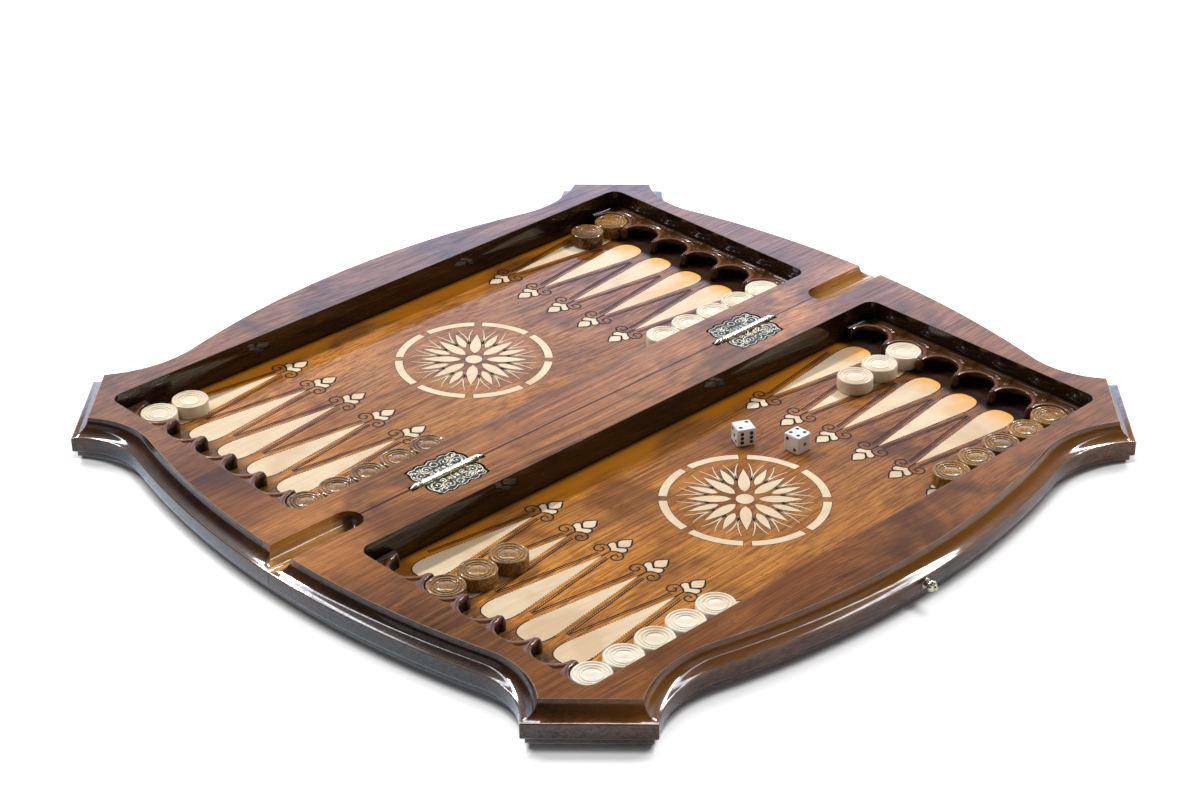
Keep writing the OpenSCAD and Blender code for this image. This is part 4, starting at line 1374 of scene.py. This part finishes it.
for end in (-1, 1):
    name = "hinge_pin_" + ("right" if end > 0 else "left")
    acorn = moved(lathe(finial(), 28, "x"), (barrel_len / 2 + knuckle_gap, 0, 0))
    rod = lathe([(0, -22.4), (1.2, -22.4), (1.2, 22.4), (0, 22.4)], 20, "x")
    pin = moved(joined(rod, acorn, mirrored(acorn)), (end * hinge_x, 0, axis_z))
    piece = new_piece(name + "_acorns", pin, old_brass)
    set_mask(piece, "hollow", [0.35 if math.hypot(y, z - axis_z) < 1.6 else 0.0 for x, y, z in pin[0]])
    smooth(piece, 40)
    finish_piece(piece, "near_leaf", "brass", name)
for side in SIDES:
    heads = screws()
    piece = new_piece(side + "_screw_heads", heads, old_brass, side == "near")
    set_mask(piece, "hollow", [0.7 if z < leaf_t - 0.6 else 0.0 for x, y, z in heads[0]])
    smooth(piece, 30)
    finish_piece(piece, side + "_leaf", "brass", side + "_hinge_screws")
print("pins and screws made")

# %% [markdown]
# ## Clasp
# The near leaf has a knob like an open flower, and the far leaf has a hook that swings over its
# neck when the board is shut. The petals of the knob are lobes pushed out of a turned shape.

# %% Clasp
clasp_z, side_face = 13.5, side_crown + edge_r
hook_reach, hook_t, hook_gap = 2 * (axis_z - clasp_z), 1.6, 1.5
petals, petal_depth = 8, 0.10


def flower_knob():
    """Turned knob along +Z whose radius swells and dips round the turn."""
    profile = [(0, -12.0), (1.5, -12.0), (1.5, 0.0), (3.3, 0.0), (3.7, 0.35), (3.55, 0.95), (2.4, 1.2),
               (2.0, 1.5), (2.0, 3.3), (2.6, 3.5), (3.4, 3.9), (4.15, 5.0), (4.1, 6.2), (3.5, 7.4),
               (2.4, 8.1), (1.7, 8.2), (1.75, 8.7), (1.5, 9.5), (0.8, 10.0), (0, 10.1)]
    points, faces = lathe(profile, 48)
    out = []
    for x, y, z in points:
        r, a = math.hypot(x, y), math.atan2(y, x)
        if 3.4 < z < 8.15 and r > 1:
            k = 1 - petal_depth * (0.5 - 0.5 * math.cos(petals * a)) ** 0.6
            x, y = x * k, y * k
        out.append((x, y, z))
    return out, faces


def knob():
    part = flower_knob()
    return [(x, -side_face - z, clasp_z + y) for x, y, z in part[0]], part[1]


def hook():
    """Hook in its own plane: an eye, a waisted bar, a notched cup and a finger tip."""
    bar = [(-3.9, 0), (-3.3, 2.2), (-1.9, 3.4), (0, 3.9), (2.2, 3.2), (4.2, 2.0), (9, 1.35), (16, 1.5),
           (22, 1.3)]
    end = [(-6.4, 1.6), (-4.4, 2.6), (-3.4, 3.4), (-2.6, 3.2), (-2.35, 1.6), (-2.3, 0)]
    end += arc((0, 0), 2.32, 180, 360, 12)[1:]
    end += [(2.6, 3.2), (3.5, 3.4), (4.2, 1.6), (4.4, 0), (5.2, -1.6), (7.6, -2.1), (8.5, -3.1),
            (7.6, -4.4), (5.0, -4.5), (0, -4.3), (-3.0, -3.2), (-5.2, -1.7)]
    loop = bar + [(hook_reach + x, y) for x, y in end] + [(x, -y) for x, y in bar[:0:-1]]
    return loop[::-1]


def hook_part():
    """The flat hook as a plate with a hole for its screw."""
    bm = bmesh.new()
    rim = [bm.verts.new((x, y, 0)) for x, y in hook()]
    hole = [bm.verts.new((x, y, 0)) for x, y in arc((0, 0), 2.06, 0, 345, 23)]
    edges = [bm.edges.new((v[i], v[(i + 1) % len(v)])) for v in (rim, hole) for i in range(len(v))]
    bmesh.ops.triangle_fill(bm, edges=edges, use_beauty=True)
    made = bmesh.ops.extrude_face_region(bm, geom=bm.faces[:])
    for v in made["geom"]:
        if isinstance(v, bmesh.types.BMVert):
            v.co.z += hook_t
    bmesh.ops.recalc_face_normals(bm, faces=bm.faces)
    bm.verts.ensure_lookup_table()
    points = [(v.co.x, side_face + hook_gap + v.co.z, clasp_z + v.co.y) for v in bm.verts]
    faces = [[v.index for v in f.verts][::-1] for f in bm.faces]
    bm.free()
    return points, faces


def pivot():
    part = lathe([(0, -12.0), (1.5, -12.0), (1.5, 0), (3.3, 0), (3.7, 0.35), (3.6, 1.0), (2.6, 1.2),
                  (2.0, 1.2), (2.0, 3.4), (3.3, 3.42), (3.6, 3.8), (3.3, 4.6), (2.4, 5.2), (1.2, 5.55),
                  (0, 5.6)], 36)
    return [(x, side_face + z, clasp_z - y) for x, y, z in part[0]], part[1]


for name, part, body in (("clasp_knob", knob(), "near_leaf"), ("clasp_pivot", pivot(), "far_leaf"),
                         ("clasp_hook", hook_part(), "clasp_hook")):
    piece = new_piece(name + "_cast", part, pale_brass)
    face_out(piece)
    necks = [name != "clasp_hook" and abs(abs(v.co.y) / MM - side_face - 2.3) < 1.2
             for v in piece.data.vertices]
    set_mask(piece, "hollow", [0.75 if neck else 0.0 for neck in necks])
    smooth(piece, 42)
    finish_piece(piece, body, "brass", name)
    print(piece.name, len(piece.data.polygons), "faces")

# %% [markdown]
# ## CAD nodes that stay
# The floor panels and the chess squares under the board are flat pieces whose CAD shape is
# already right, so they keep it, and only their material slots get the new finishes.

# %% CAD nodes that stay
for name, finish in (("floor_panel", floor_wood), ("dark_squares", dark_veneer),
                     ("light_squares", light_veneer)):
    for side in SIDES:
        kept = nodes[side + "_" + name]
        kept.data.materials.clear()
        kept.data.materials.append(finish)
print("underside pieces keep their CAD shape")

# %% [markdown]
# ## Table
# The photograph has a white table and a white surround. The table is grown in rings from the
# outline of the open board, and each ring says how far the table lights itself for the camera:
# not at all beside the board, so that the shadow stays, and more and more farther off. A second
# mask gives the light that lacquered wood mirrors from the table close by.

# %% Table
def floor_material():
    m, tree, shader = new_material("pale_floor")
    set_inputs(tree, shader, Base_Color=(0.90, 0.905, 0.915, 1), Roughness=0.9, Specular_IOR_Level=0.2)
    path = tree.nodes.new("ShaderNodeLightPath").outputs
    seen = calc(tree, "MULTIPLY", path["Is Camera Ray"], mask(tree, "open"))
    mirrored_light = calc(tree, "MULTIPLY", path["Is Glossy Ray"], mask(tree, "near"))
    tint = mix(tree, path["Is Glossy Ray"], (1, 1, 1, 1), (0.62, 0.80, 1, 1))
    set_inputs(tree, shader, Emission_Color=tint,
               Emission_Strength=calc(tree, "ADD", seen, mirrored_light))
    return m


# Rings as (millimetres from the board, light for the camera, light for reflections)
rings = [(-60, 0.0, 1.0), (2, 0.0, 1.0), (5, 0.05, 0.9), (9, 0.45, 0.8), (30, 0.65, 0.7),
         (60, 0.70, 0.3), (110, 0.75, 0.05), (400, 0.9, 0.0), (6000, 0.9, 0.0)]
front_share = 0.35
plan = [(s * x, s * y) for s in (-1, 1) for x, y in outline(6) if abs(y) > 1.0]
plan.sort(key=lambda q: math.atan2(q[1], q[0]))
points, shown, near = [(0, 0, 0)], [0.0], [1.0]
for away, lit, close in rings:
    for x, y in plan:
        far = 1 + away / math.hypot(x, y)
        points.append((x * far, y * far, 0))
        shown.append(lit)
        near.append(close * (front_share if -y > abs(x) else 1.0))
faces = [[0, 1 + i, 1 + (i + 1) % len(plan)] for i in range(len(plan))]
for r in range(len(rings) - 1):
    faces += quads(1 + r * len(plan), 1 + (r + 1) * len(plan), len(plan))
table = new_piece("table", (points, faces), floor_material())
set_mask(table, "open", shown)
set_mask(table, "near", near)
table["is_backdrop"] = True
print("table of", len(faces), "faces")

# %% [markdown]
# ## Lamps and surround
# Two long, narrow lamps stand high behind the board and draw the lines of light on its moulding,
# and two weak panels fill the front. The world is white only for the camera, and its own light
# stays at a plain level, so that the colours of the wood are true. For reflections alone it has
# a low bluish window straight behind the board, which lays the veil on the tops, and a thin
# bright strip higher up, which the glossy edges mirror.

# %% Lamps and surround
def panel_light(name, place, size, power, colour=(1, 1, 1)):
    """A rectangular lamp that points at the middle of the board."""
    data = bpy.data.lights.new(name, "AREA")
    data.shape = "RECTANGLE"
    data.size, data.size_y = size
    data.energy = power
    data.color = colour
    lamp = bpy.data.objects.new(name, data)
    lamp.location = place
    lamp.rotation_euler = (-Vector(place)).to_track_quat("-Z", "Y").to_euler()
    bpy.context.collection.objects.link(lamp)


panel_light("key_far", (-0.15, 2.25, 2.40), (2.3, 0.15), 97)
panel_light("key_right", (2.25, -0.15, 2.40), (2.3, 0.15), 74)
panel_light("panel_left", (-1.9, 0.2, 1.0), (1.4, 0.9), 2, (0.94, 0.97, 1))
panel_light("panel_front", (0.6, -1.9, 1.2), (1.4, 0.9), 2, (0.97, 0.98, 1))

# Heights are the sines of a ray's angle above the table
window_way, window_sides, window_top = (0.692, 0.722, 0), (0.55, 0.88), (0.40, 0.54)
window_glow, strip_glow, plain_light, veil_blue = 2.8, 15.0, 0.07, (0.52, 0.68, 1, 1)
strip_from, strip_to, strip_side = (0.715, 0.725), (0.755, 0.765), (-0.35, 0.05)

world = bpy.data.worlds.new("white_surround")
world.use_nodes = True
wt = world.node_tree
wt.nodes.clear()
path = wt.nodes.new("ShaderNodeLightPath").outputs
way = node(wt, "ShaderNodeTexCoord").outputs["Generated"]
height = node(wt, "ShaderNodeSeparateXYZ", {0: way}).outputs["Z"]
low = node(wt, "ShaderNodeMapRange", {
    "Value": height, "From Min": window_top[0], "From Max": window_top[1], "To Min": 1.0, "To Max": 0.0},
    interpolation_type="SMOOTHSTEP").outputs["Result"]
facing = node(wt, "ShaderNodeVectorMath", {0: way, 1: window_way},
              operation="DOT_PRODUCT").outputs["Value"]
level_part = calc(wt, "SQRT", calc(wt, "SUBTRACT", 1.0, calc(wt, "MULTIPLY", height, height)))
window = calc(wt, "MULTIPLY", low, ramp(wt, calc(wt, "DIVIDE", facing, level_part), *window_sides))
strip = calc(wt, "MULTIPLY", ramp(wt, height, *strip_from), ramp(wt, height, *strip_to, 1.0, 0.0))
strip = calc(wt, "MULTIPLY", strip, ramp(wt, facing, *strip_side, 0.0, strip_glow))
glow = calc(wt, "ADD", strip, calc(wt, "SUBTRACT", calc(wt, "MULTIPLY", window, window_glow), 0.01))
level = calc(wt, "ADD", plain_light, calc(wt, "MULTIPLY", path["Is Glossy Ray"], glow))
level = calc(wt, "MAXIMUM", path["Is Camera Ray"], level)
veiled = calc(wt, "MULTIPLY", path["Is Glossy Ray"], calc(wt, "MINIMUM", 1.0, calc(wt, "ADD", low, 0.3)))
tint = mix(wt, veiled, (1, 1, 1, 1), veil_blue)
sky = node(wt, "ShaderNodeBackground", {"Color": tint, "Strength": level})
wt.links.new(sky.outputs[0], wt.nodes.new("ShaderNodeOutputWorld").inputs[0])
bpy.context.scene.world = world
bpy.context.scene.view_settings.view_transform = "Standard"

# %% Finish
low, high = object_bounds()
print("visual box", [round(v, 4) for v in low], [round(v, 4) for v in high])
